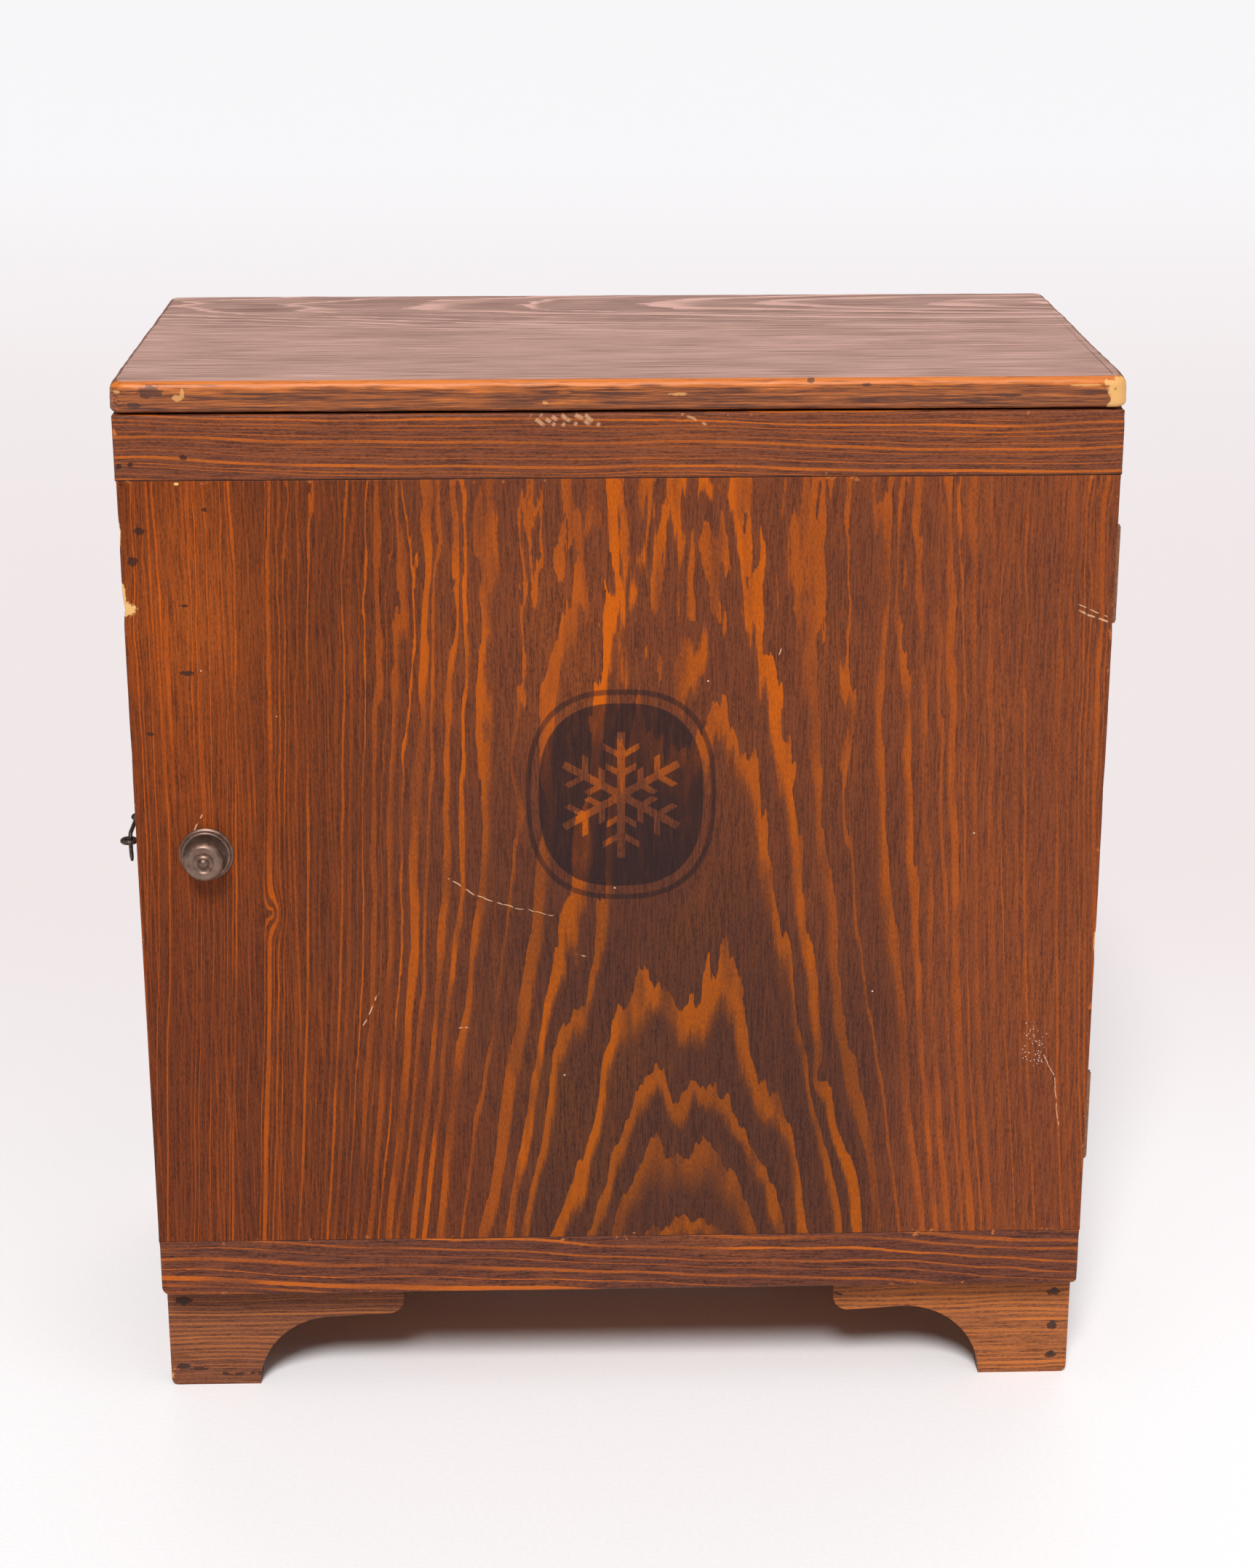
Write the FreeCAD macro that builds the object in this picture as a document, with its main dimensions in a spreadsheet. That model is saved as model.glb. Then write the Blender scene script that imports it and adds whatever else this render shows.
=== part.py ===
import FreeCAD, Part
import math
import os
import re

import Sketcher
from FreeCAD import Placement, Rotation, Vector

# Small free-standing icebox of solid wood with one door over its whole front.
#
# Frame: millimetres. +Z is up, the door faces -Y and +X is to the right as one faces the door.
# The origin is on the floor, under the middle of the icebox.
#
# Every length below is a cell of the sheet "sizes". "..._at" values are positions on an axis.

SIZES = {
    # Case
    "case_width": 607,
    "case_front_at": -128,
    "case_back_at": 172,
    "case_bottom_at": 78,
    "case_top_at": 669,
    "board_thick": 16,
    "cork_thick": 20,
    "zinc_thick": 1,
    # Top board
    "top_width": 613,
    "top_thick": 19,
    "top_corner_radius": 9,
    "top_upper_radius": 5.5,
    "top_lower_radius": 3,
    # Door
    "door_front_at": -148,
    "door_thick": 18,
    "door_top_gap": 1.2,
    "top_rail_tall": 40,
    "top_rail_width": 610,
    "bottom_rail_tall": 39.5,
    "bottom_rail_width": 608,
    "panel_width": 608.6,
    "door_edge_radius": 1.4,
    "tongue_deep": 8,
    "tongue_thick": 6,
    "plug_gap": 3,
    "plug_deep": 20,
    "plug_frame_wide": 15,
    "gasket_gap": 2,
    "gasket_thick": 1.8,
    "gasket_wide": 9,
    # Hinges
    "hinge_axis_x_at": 306.7,
    "hinge_axis_y_at": -129,
    "hinge_tall": 60,
    "hinge_upper_at": 561,
    "hinge_lower_at": 193,
    "knuckle_radius": 2.9,
    "knuckle_gap": 0.2,
    "relief_radius": 3.4,
    "hinge_pin_radius": 1.3,
    "hinge_pin_play": 0.05,
    "hinge_pin_head_radius": 2.4,
    "hinge_pin_head_tall": 1.2,
    "leaf_wide": 27,
    "leaf_thick": 1.2,
    "leaf_gap": 0.4,
    "leaf_screw_pitch": 20,
    "leaf_screw_x_at": 294,
    "leaf_screw_long": 14,
    # Wood screws and nails
    "screw_radius": 1.7,
    "screw_head_radius": 3.2,
    "screw_head_deep": 1.2,
    "screw_tip_long": 3,
    "screw_slot_wide": 0.8,
    "screw_slot_deep": 0.5,
    "nail_radius": 1.1,
    "nail_head_radius": 2.2,
    "nail_head_thick": 0.8,
    "nail_long": 36,
    # Knob
    "knob_x_at": -260.7,
    "knob_z_at": 389,
    "rose_radius": 17,
    "rose_edge_thick": 1.2,
    "rose_rim_radius": 14.3,
    "rose_rim_high": 4.6,
    "rose_well_radius": 10.5,
    "rose_floor_high": 2.6,
    "knob_bore_radius": 2,
    "knob_neck_radius": 5,
    "knob_radius": 12.7,
    "knob_edge_high": 15,
    "knob_shoulder_high": 18.2,
    "knob_shoulder_radius": 10.2,
    "knob_dish_radius": 5.2,
    "knob_dish_high": 17.2,
    "knob_boss_radius": 3.5,
    "knob_boss_flat_radius": 1.2,
    "knob_high": 20.5,
    "knob_screw_long": 24,
    "knob_screw_head_radius": 4.5,
    "knob_screw_head_deep": 3,
    # Latch at the left edge of the door
    "latch_z_at": 395,
    "eye_radius": 4,
    "eye_wire_radius": 1.55,
    "eye_shank_radius": 1.4,
    "eye_shank_long": 17,
    "catch_eye_x_at": -309.9,
    "catch_eye_y_at": -139,
    "hook_x_at": -309,
    "hook_long": 42,
    "hook_loop_radius": 4.5,
    "hook_wire_radius": 1.3,
    "hook_bend_radius": 3,
    "hook_eye_gap_angle": 20,
    "hook_leg_angle": 15.5,
    "hook_tip_long": 3,
    "hook_tip_radius": 0.8,
    # Feet
    "foot_thick": 19,
    "foot_base_wide": 60,
    "foot_arc_radius": 50,
    "foot_toe_radius": 10,
    "foot_toe_high": 52,
    "foot_corner_radius": 5,
    "left_foot_long": 158,
    "right_foot_long": 160,
    "right_foot_arc_radius": 52,
    "right_foot_toe_high": 49.6,
    "side_foot_long": 110,
    "rear_foot_long": 110,
    "glue_block_wide": 30,
    "glue_block_floor_gap": 6,
    "foot_nail_inset": 10.5,
    "foot_nail_low_at": 14,
    "foot_nail_mid_at": 37,
    "foot_nail_high_at": 62,
    # Nails of the case
    "side_nail_low_at": 130,
    "side_nail_pitch": 120,
    "bottom_nail_first_at": -100,
    "bottom_nail_pitch": 110,
    # Inside
    "cleat_wide": 15,
    "cleat_front_at": -100,
    "cleat_back_at": 104,
    "tray_level_at": 440,
    "shelf_level_at": 270,
    "tray_half_wide": 262,
    "tray_front_at": -98,
    "tray_back_at": 128,
    "tray_tall": 60,
    "spout_radius": 6,
    "spout_long": 14,
    "rack_half_wide": 245,
    "rack_front_at": -85,
    "rack_back_at": 92,
    "rack_frame_radius": 3,
    "rack_wire_radius": 2,
    "rack_wire_pitch": 30,
    "rack_leg_high": 10,
    "shelf_front_at": -98,
    "shelf_back_at": 100,
    "shelf_frame_radius": 2.8,
    "shelf_wire_radius": 1.5,
    "shelf_wire_pitch": 26,
    # Drain
    "drain_y_at": 118,
    "pipe_radius": 9,
    "pipe_wall": 1,
    "funnel_radius": 14,
    "funnel_top_at": 436,
    "funnel_tall": 12,
    "pipe_end_at": 46,
    # Drip pan
    "pan_half_wide": 120,
    "pan_deep": 146,
    "pan_front_at": 2,
    "pan_tall": 32,
    "pan_wall": 1.2,
}

doc = FreeCAD.newDocument("icebox")
sheet = doc.addObject("Spreadsheet::Sheet", "sizes")
nodes = []


# ---------------------------------------------------------------- sheet and expressions

def fill_sheet():
    for row, (alias, number) in enumerate(SIZES.items(), start=1):
        sheet.set(f"A{row}", alias)
        sheet.set(f"B{row}", str(number))
        sheet.setAlias(f"B{row}", alias)
    doc.recompute()


def linked(expression):
    """The expression with each size name turned into a reference to its cell."""
    def cell(word):
        return "sizes." + word[0] if word[0] in SIZES else word[0]
    return re.sub(r"[a-z_]+", cell, str(expression))


def value(expression):
    return float(sheet.evalExpression(linked(expression)))


def bind(target, expressions):
    for name, expression in expressions.items():
        target.setExpression(name, linked(expression))
    return target


def keep(part, label):
    """Make an object a sub-part: it gets the label that names its file."""
    part.Label = label
    nodes.append(part)
    return part


# ---------------------------------------------------------------- primitives and booleans

TURN_TO = {
    "+x": Rotation(Vector(0, 1, 0), 90),
    "-x": Rotation(Vector(0, 1, 0), -90),
    "+y": Rotation(Vector(1, 0, 0), -90),
    "-y": Rotation(Vector(1, 0, 0), 90),
    "+z": Rotation(),
    "-z": Rotation(Vector(1, 0, 0), 180),
}


def place(part, x, y, z, turn=None):
    """Bind the position to the sheet, after the turn that stands in the placement."""
    if turn is not None:
        part.Placement = Placement(Vector(), turn)
    return bind(part, {"Placement.Base.x": x, "Placement.Base.y": y, "Placement.Base.z": z})


def box(name, x, y, z):
    """Block between the low and the high limit on each axis."""
    block = doc.addObject("Part::Box", name)
    bind(block, {
        "Length": f"({x[1]}) - ({x[0]})",
        "Width": f"({y[1]}) - ({y[0]})",
        "Height": f"({z[1]}) - ({z[0]})",
    })
    return place(block, x[0], y[0], z[0])


def rod(name, at, towards, length, radius, far_radius=None):
    """Round bar from a point in the given direction, or a cone if it has a far radius."""
    if far_radius is None:
        bar = bind(doc.addObject("Part::Cylinder", name), {"Radius": radius})
    else:
        bar = doc.addObject("Part::Cone", name)
        bind(bar, {"Radius1": radius, "Radius2": far_radius})
    bind(bar, {"Height": length})
    return place(bar, *at, TURN_TO[towards])


def ball(name, at, radius):
    return place(bind(doc.addObject("Part::Sphere", name), {"Radius": radius}), *at)


def flat_ring(name, at, radius, wire_radius):
    """The two halves of a closed wire ring that lies flat; they meet at its ends on Y."""
    halves = []
    for side, turn in (("left", 90), ("right", -90)):
        half = doc.addObject("Part::Torus", f"{name}_{side}")
        bind(half, {"Radius1": radius, "Radius2": wire_radius})
        half.Angle3 = 180
        halves.append(place(half, *at, Rotation(Vector(0, 0, 1), turn)))
    return halves


def fuse(name, pieces):
    joined = doc.addObject("Part::MultiFuse", name)
    joined.Shapes = pieces
    return joined


def cut(name, base, tool):
    rest = doc.addObject("Part::Cut", name)
    rest.Base = base
    rest.Tool = tool
    return rest


def group(name, pieces):
    """Separate solids that share one node."""
    together = doc.addObject("Part::Compound", name)
    together.Links = pieces
    return together


# ---------------------------------------------------------------- sketches

def new_sketch(body, role, name):
    """Sketch on one of the body's own origin planes."""
    plane = next(item for item in body.Origin.OriginFeatures if item.Role == role)
    sketch = body.newObject("Sketcher::SketchObject", name)
    sketch.AttachmentSupport = (plane, [""])
    sketch.MapMode = "FlatFace"
    return sketch


def arc_between(start, end, radius):
    """Shorter arc from start to end, with its centre on the left for a positive radius."""
    half = (end - start) * 0.5
    left = Vector(-half.y, half.x, 0).normalize()
    rise = math.sqrt(max(radius ** 2 - half.Length ** 2, 0))
    centre = start + half + left * math.copysign(rise, radius)
    first, last = (start, end) if radius > 0 else (end, start)
    angles = [math.atan2(point.y - centre.y, point.x - centre.x) for point in (first, last)]
    return Part.ArcOfCircle(Part.Circle(centre, Vector(0, 0, 1), abs(radius)), *angles)


def draw_edges(sketch, corners):
    """Edges from corner to corner, each pinned to the sheet; returns (first point, last point) of each."""
    points = [Vector(value(corner[0]), value(corner[1]), 0) for corner in corners]
    ends = []
    for index, corner in enumerate(corners[:-1]):
        start, end = points[index], points[index + 1]
        if len(corner) == 2:
            sketch.addGeometry(Part.LineSegment(start, end))
            ends.append((1, 2))
        else:
            radius = value(corner[2])
            sketch.addGeometry(arc_between(start, end, radius))
            ends.append((1, 2) if radius > 0 else (2, 1))
            row = sketch.addConstraint(Sketcher.Constraint("Radius", index, abs(radius)))
            bind(sketch, {f"Constraints[{row}]": f"abs({corner[2]})"})
        pin(sketch, index, ends[index][0], corner)
        if index:
            meet(sketch, index - 1, ends[index - 1][1], index, ends[index][0])
    return ends


def pin(sketch, edge, end, corner):
    """Hold one end of an edge at its corner's two sizes."""
    for kind, expression in zip(("DistanceX", "DistanceY"), corner):
        row = sketch.addConstraint(Sketcher.Constraint(kind, edge, end, value(expression)))
        bind(sketch, {f"Constraints[{row}]": expression})


def meet(sketch, edge, end, next_edge, next_end):
    sketch.addConstraint(Sketcher.Constraint("Coincident", edge, end, next_edge, next_end))


def draw_outline(sketch, corners):
    """Closed outline. A corner is (across, up), or (across, up, radius) where an arc leads on from it."""
    ends = draw_edges(sketch, corners + corners[:1])
    last = len(corners) - 1
    meet(sketch, last, ends[last][1], 0, ends[0][0])


def draw_path(sketch, corners):
    """Open line through the corners, written like those of an outline."""
    ends = draw_edges(sketch, corners)
    last = len(corners) - 2
    pin(sketch, last, ends[last][1], corners[-1])


def new_body(name):
    return doc.addObject("PartDesign::Body", name)


def pad(body, role, corners, length):
    """Pad of an outline, to the positive side of its plane."""
    sketch = new_sketch(body, role, body.Name + "_outline")
    draw_outline(sketch, corners)
    feature = body.newObject("PartDesign::Pad", body.Name + "_pad")
    feature.Profile = sketch
    feature.Reversed = role == "XZ_Plane"
    return bind(feature, {"Length": length})


def turned(name, corners):
    """Body turned about its own Z axis from an outline of (radius, height) corners."""
    body = new_body(name)
    sketch = new_sketch(body, "XZ_Plane", name + "_outline")
    draw_outline(sketch, corners)
    feature = body.newObject("PartDesign::Revolution", name + "_turning")
    feature.Profile = sketch
    feature.ReferenceAxis = (sketch, ["V_Axis"])
    feature.Angle = 360
    return body


def round_edges(body, feature, name, radius, chosen):
    """Fillet on the edges of a feature for which the test holds."""
    doc.recompute()
    picked = [f"Edge{number}" for number, edge in enumerate(feature.Shape.Edges, start=1) if chosen(edge)]
    fillet = body.newObject("PartDesign::Fillet", f"{body.Name}_{name}")
    fillet.Base = (feature, picked)
    return bind(fillet, {"Radius": radius})


def lies_at(edge, axis, position):
    """True for an edge that lies in the plane across the axis at that position."""
    return all(abs(getattr(vertex.Point, axis) - position) < 1e-6 for vertex in edge.Vertexes)


def rectangle(left, right, low, high):
    return [(left, low), (right, low), (right, high), (left, high)]


# ---------------------------------------------------------------- fasteners

def screw_blank(name, at, towards):
    """Countersunk wood screw without its slot; its head's face is at the given point."""
    x, y, z = at
    sign = towards[0]
    head = rod(name + "_head", at, towards, "screw_head_deep", "screw_head_radius", "screw_radius")
    shank_at = (x, f"{y} {sign} screw_head_deep", z)
    shank_long = "leaf_screw_long - screw_head_deep - screw_tip_long"
    shank = rod(name + "_shank", shank_at, towards, shank_long, "screw_radius")
    tip_at = (x, f"{y} {sign} (leaf_screw_long - screw_tip_long)", z)
    tip = rod(name + "_tip", tip_at, towards, "screw_tip_long", "screw_radius", "screw_radius / 8")
    return fuse(name, [head, shank, tip])


def screw_slot(name, at, towards):
    x, y, z = at
    depth = [f"{y} - screw_slot_deep", f"{y} + screw_slot_deep"]
    across = [f"{x} - screw_head_radius", f"{x} + screw_head_radius"]
    return box(name, across, depth, [f"{z} - screw_slot_wide / 2", f"{z} + screw_slot_wide / 2"])


def nail(name, at, towards):
    """Nail driven flush; its head's face is at the given point."""
    head = rod(name + "_head", at, towards, "nail_head_thick", "nail_head_radius")
    shank = rod(name + "_shank", at, towards, "nail_long", "nail_radius")
    return fuse(name, [head, shank])


# ---------------------------------------------------------------- case

HALF_CASE = "case_width / 2"
INNER_CASE = f"{HALF_CASE} - board_thick"
CORK_INSIDE = f"{INNER_CASE} - cork_thick"
OPENING_HALF = f"{CORK_INSIDE} - zinc_thick"
FRAME_BACK_AT = "case_front_at + board_thick"
BACK_BOARD_AT = "case_back_at - board_thick"
BACK_CORK_AT = f"{BACK_BOARD_AT} - cork_thick"
FLOOR_BOARD_TOP_AT = "case_bottom_at + board_thick"
FLOOR_CORK_TOP_AT = f"{FLOOR_BOARD_TOP_AT} + cork_thick"
OPENING_LOW_AT = f"{FLOOR_CORK_TOP_AT} + zinc_thick"
CEILING_CORK_AT = "case_top_at - cork_thick"
OPENING_HIGH_AT = f"{CEILING_CORK_AT} - zinc_thick"
INSIDE_BACK_AT = f"{BACK_CORK_AT} - zinc_thick"
SIDES = {"left": -1, "right": 1}


def span(side, inner, outer):
    """Limits on X of a piece at the left or right, from its distances to the middle plane."""
    if side == "left":
        return [f"-({outer})", f"-({inner})"]
    return [inner, outer]


def across(half):
    return [f"-({half})", half]


def drain_hole(name, low, high):
    """Round bar that clears the way of the drain pipe between two levels."""
    return rod(name, ("0", "drain_y_at", low), "+z", f"({high}) - ({low})", "pipe_radius")


def case_nails():
    """Nails through the sides into the back board and the bottom board."""
    nails = []
    for side, sign in SIDES.items():
        towards = "+x" if sign < 0 else "-x"
        face = f"{sign} * {HALF_CASE}"
        for number in range(5):
            at = (face, "case_back_at - board_thick / 2", f"side_nail_low_at + {number} * side_nail_pitch")
            nails.append(nail(f"nail_{side}_back_{number}", at, towards))
        for number in range(3):
            along = f"bottom_nail_first_at + {number} * bottom_nail_pitch"
            at = (face, along, "case_bottom_at + board_thick / 2")
            nails.append(nail(f"nail_{side}_bottom_{number}", at, towards))
    return keep(group("case_nail_group", nails), "case_nails")


def case_boards(nails, hinge_mortises, case_screws, eye_shank):
    depth = ["case_front_at", "case_back_at"]
    height = ["case_bottom_at", "case_top_at"]
    left = box("side_board_left_blank", span("left", INNER_CASE, HALF_CASE), depth, height)
    keep(cut("side_left_cut", left, group("side_left_holes", [nails, eye_shank])), "side_board_left")
    right = box("side_board_right_blank", span("right", INNER_CASE, HALF_CASE), depth, height)
    holes = group("side_right_holes", [nails, case_screws])
    keep(cut("side_right_cut", cut("side_right_mortised", right, hinge_mortises), holes), "side_board_right")

    back = box("back_board_blank", across(INNER_CASE), [BACK_BOARD_AT, "case_back_at"], height)
    keep(cut("back_cut", back, nails), "back_board")
    floor = box("bottom_board_blank", across(INNER_CASE), ["case_front_at", BACK_BOARD_AT],
                ["case_bottom_at", FLOOR_BOARD_TOP_AT])
    hole = drain_hole("bottom_board_hole", "case_bottom_at", FLOOR_BOARD_TOP_AT)
    keep(cut("bottom_cut", floor, group("bottom_holes", [nails, hole])), "bottom_board")


def face_frame(hinge_mortises):
    """Strips that close the insulation off round the door opening."""
    depth = ["case_front_at", FRAME_BACK_AT]
    height = [FLOOR_BOARD_TOP_AT, "case_top_at"]
    keep(box("stile_left_block", span("left", OPENING_HALF, INNER_CASE), depth, height), "stile_left")
    right = box("stile_right_block", span("right", OPENING_HALF, INNER_CASE), depth, height)
    keep(cut("stile_right_cut", right, hinge_mortises), "stile_right")
    keep(box("frame_top_block", across(OPENING_HALF), depth, [OPENING_HIGH_AT, "case_top_at"]),
         "frame_rail_top")
    keep(box("frame_low_block", across(OPENING_HALF), depth, [FLOOR_BOARD_TOP_AT, OPENING_LOW_AT]),
         "frame_rail_bottom")


def insulation():
    depth = [FRAME_BACK_AT, BACK_CORK_AT]
    height = [FLOOR_BOARD_TOP_AT, "case_top_at"]
    for side in SIDES:
        keep(box(f"cork_{side}", span(side, CORK_INSIDE, INNER_CASE), depth, height), f"insulation_{side}")
    keep(box("cork_back", across(INNER_CASE), [BACK_CORK_AT, BACK_BOARD_AT], height), "insulation_back")
    keep(box("cork_top", across(CORK_INSIDE), depth, [CEILING_CORK_AT, "case_top_at"]), "insulation_top")
    slab = box("cork_bottom", across(CORK_INSIDE), depth, [FLOOR_BOARD_TOP_AT, FLOOR_CORK_TOP_AT])
    hole = drain_hole("cork_bottom_hole", FLOOR_BOARD_TOP_AT, FLOOR_CORK_TOP_AT)
    keep(cut("cork_bottom_cut", slab, hole), "insulation_bottom")


def liner():
    """Zinc sheets on the five inner faces."""
    depth = [FRAME_BACK_AT, BACK_CORK_AT]
    for side in SIDES:
        keep(box(f"zinc_{side}", span(side, OPENING_HALF, CORK_INSIDE), depth,
                 [FLOOR_CORK_TOP_AT, CEILING_CORK_AT]), f"liner_{side}")
    keep(box("zinc_back", across(OPENING_HALF), [INSIDE_BACK_AT, BACK_CORK_AT],
             [FLOOR_CORK_TOP_AT, CEILING_CORK_AT]), "liner_back")
    inside = [FRAME_BACK_AT, INSIDE_BACK_AT]
    keep(box("zinc_ceiling", across(OPENING_HALF), inside, [OPENING_HIGH_AT, CEILING_CORK_AT]),
         "liner_ceiling")
    sheet_metal = box("zinc_floor", across(OPENING_HALF), inside, [FLOOR_CORK_TOP_AT, OPENING_LOW_AT])
    hole = drain_hole("zinc_floor_hole", FLOOR_CORK_TOP_AT, OPENING_LOW_AT)
    keep(cut("zinc_floor_cut", sheet_metal, hole), "liner_floor")


def top_board():
    """Board with rounded plan corners and soft edges; its front is flush with the door."""
    body = new_body("top_board_body")
    half = "top_width / 2"
    block = pad(body, "XY_Plane", rectangle(f"-{half}", half, "door_front_at", "case_back_at"), "top_thick")
    corners = round_edges(body, block, "corners", "top_corner_radius",
                          lambda edge: abs(edge.Vertexes[0].Z - edge.Vertexes[-1].Z) > 1)
    thick = value("top_thick")
    upper = round_edges(body, corners, "upper", "top_upper_radius", lambda edge: lies_at(edge, "z", thick))
    round_edges(body, upper, "lower", "top_lower_radius", lambda edge: lies_at(edge, "z", 0))
    keep(place(body, "0", "0", "case_top_at"), "top_board")


# ---------------------------------------------------------------- feet

def bracket(name, long, base, mirrored, arc="foot_arc_radius", toe="foot_toe_high", corner=None):
    """Bracket foot standing in its own XZ plane, from its outer end towards +X (or -X if mirrored)."""
    sign = "-1 * " if mirrored else ""
    turn = "-" if mirrored else ""
    corners = [
        (f"{sign}({base})", "0", f"-({turn}{arc})"),
        (f"{sign}({base} + {arc})", arc),
        (f"{sign}({long} - foot_toe_radius)", toe, f"{turn}foot_toe_radius"),
        (f"{sign}({long})", f"{toe} + foot_toe_radius"),
        (f"{sign}({long})", "case_bottom_at"),
        (f"{sign}0", "case_bottom_at"),
    ]
    if corner is None:
        corners.append((f"{sign}0", "0"))
    else:
        corners += [(f"{sign}0", corner, f"{turn}{corner}"), (f"{sign}{corner}", "0")]
    body = new_body(name + "_body")
    pad(body, "XZ_Plane", corners, "foot_thick")
    return body


def feet(nails):
    side_base = "foot_base_wide - foot_thick"
    # The two front brackets were sawn by hand and differ a little.
    front_shapes = {
        "left": {"long": "left_foot_long"},
        "right": {"long": "right_foot_long", "arc": "right_foot_arc_radius", "toe": "right_foot_toe_high"},
    }
    for side, sign in SIDES.items():
        outer = f"{sign} * {HALF_CASE}"
        # The bracket's length runs towards the middle, so a foot at the right is the mirrored one.
        front = bracket(f"front_{side}", base="foot_base_wide", mirrored=sign > 0,
                        corner="foot_corner_radius", **front_shapes[side])
        place(front, outer, "case_front_at", "0")
        keep(cut(f"front_{side}_cut", front, nails), f"foot_front_{side}")

        rear = bracket(f"rear_{side}", "rear_foot_long - foot_thick", side_base, mirrored=sign > 0)
        inner = f"{outer} - {sign} * foot_thick"
        keep(place(rear, inner, "case_back_at - foot_thick", "0"), f"foot_rear_{side}")

        # A quarter turn lays the bracket along Y; its thickness then points towards -X.
        quarter = Rotation(Vector(0, 0, 1), 90)
        inner_face = f"{outer} + foot_thick" if sign < 0 else outer
        front_side = bracket(f"side_front_{side}", "side_foot_long - foot_thick", side_base, mirrored=False)
        place(front_side, inner_face, "case_front_at + foot_thick", "0", quarter)
        keep(cut(f"side_front_{side}_cut", front_side, nails), f"foot_side_front_{side}")
        rear_side = bracket(f"side_rear_{side}", "side_foot_long", "foot_base_wide", mirrored=True)
        keep(place(rear_side, inner_face, "case_back_at", "0", quarter), f"foot_side_rear_{side}")


def glue_blocks():
    """One block in the inner corner of each foot, glued to the case's bottom."""
    outer = f"{HALF_CASE} - foot_thick"
    inner = f"{outer} - glue_block_wide"
    height = ["glue_block_floor_gap", "case_bottom_at"]
    front_face = "case_front_at + foot_thick"
    back_face = "case_back_at - foot_thick"
    blocks = []
    for side in SIDES:
        blocks.append(box(f"block_front_{side}", span(side, inner, outer),
                          [front_face, f"{front_face} + glue_block_wide"], height))
        blocks.append(box(f"block_rear_{side}", span(side, inner, outer),
                          [f"{back_face} - glue_block_wide", back_face], height))
    keep(group("glue_block_group", blocks), "glue_blocks")


FOOT_NAIL_LEVELS = {"left": ("low", "high"), "right": ("low", "mid", "high")}


def foot_nails():
    """Nails through each front bracket into the end of the side bracket, two left and three right."""
    nails = []
    for side, sign in SIDES.items():
        for level in FOOT_NAIL_LEVELS[side]:
            at = (f"{sign} * ({HALF_CASE} - foot_nail_inset)", "case_front_at", f"foot_nail_{level}_at")
            nails.append(nail(f"foot_nail_{side}_{level}", at, "+y"))
    return keep(group("foot_nail_group", nails), "foot_nails")


# ---------------------------------------------------------------- door

DOOR_BACK_AT = "door_front_at + door_thick"
DOOR_TOP_AT = "case_top_at - door_top_gap"
TOP_JOINT_AT = f"{DOOR_TOP_AT} - top_rail_tall"
BOTTOM_JOINT_AT = "case_bottom_at + bottom_rail_tall"
PLUG_HALF = f"{OPENING_HALF} - plug_gap"
PLUG_LOW_AT = f"{OPENING_LOW_AT} + plug_gap"
PLUG_HIGH_AT = f"{OPENING_HIGH_AT} - plug_gap"
PLUG_BACK_AT = f"{DOOR_BACK_AT} + plug_deep"


def door_board(name, width, low, high, ends):
    """Board of the door with its front edges eased; ends lists the heights of its free long edges."""
    body = new_body(name + "_body")
    half = f"{width} / 2"
    block = pad(body, "XZ_Plane", rectangle(f"-{half}", half, low, high), "door_thick")
    half_width = value(half)
    free = [value(end) for end in ends]

    def outer_front(edge):
        if not lies_at(edge, "y", 0):
            return False
        upright = lies_at(edge, "x", -half_width) or lies_at(edge, "x", half_width)
        return upright or any(lies_at(edge, "z", level) for level in free)

    round_edges(body, block, "easing", "door_edge_radius", outer_front)
    return place(body, "0", "door_front_at", "0")


def tongue(name, width, low, high):
    """Strip in the middle of the door's thickness, along a joint between panel and rail."""
    middle = "door_front_at + door_thick / 2"
    return box(name, across(f"{width} / 2"),
               [f"{middle} - tongue_thick / 2", f"{middle} + tongue_thick / 2"], [low, high])


def door_boards(hinge_reliefs, door_screws, knob_screw, eye_shank):
    """Upright panel held by tongues in a cross rail at its top and its bottom."""
    upper = [TOP_JOINT_AT, f"{TOP_JOINT_AT} + tongue_deep"]
    lower = [f"{BOTTOM_JOINT_AT} - tongue_deep", BOTTOM_JOINT_AT]

    top_rail = door_board("top_rail", "top_rail_width", TOP_JOINT_AT, DOOR_TOP_AT, [DOOR_TOP_AT])
    top_groove = tongue("top_groove", "panel_width", *upper)
    keep(cut("top_rail_cut", top_rail, top_groove), "door_top_rail")
    bottom_rail = door_board("bottom_rail", "bottom_rail_width", "case_bottom_at", BOTTOM_JOINT_AT,
                             ["case_bottom_at"])
    bottom_groove = tongue("bottom_groove", "bottom_rail_width", *lower)
    keep(cut("bottom_rail_cut", bottom_rail, bottom_groove), "door_bottom_rail")

    panel = door_board("panel", "panel_width", BOTTOM_JOINT_AT, TOP_JOINT_AT, [])
    whole = fuse("panel_whole", [panel, tongue("top_tongue", "panel_width", *upper),
                                 tongue("bottom_tongue", "bottom_rail_width", *lower)])
    relieved = cut("panel_relieved", whole, hinge_reliefs)
    holes = group("panel_holes", [door_screws, knob_screw, eye_shank])
    keep(cut("panel_cut", relieved, holes), "door_panel")


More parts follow.
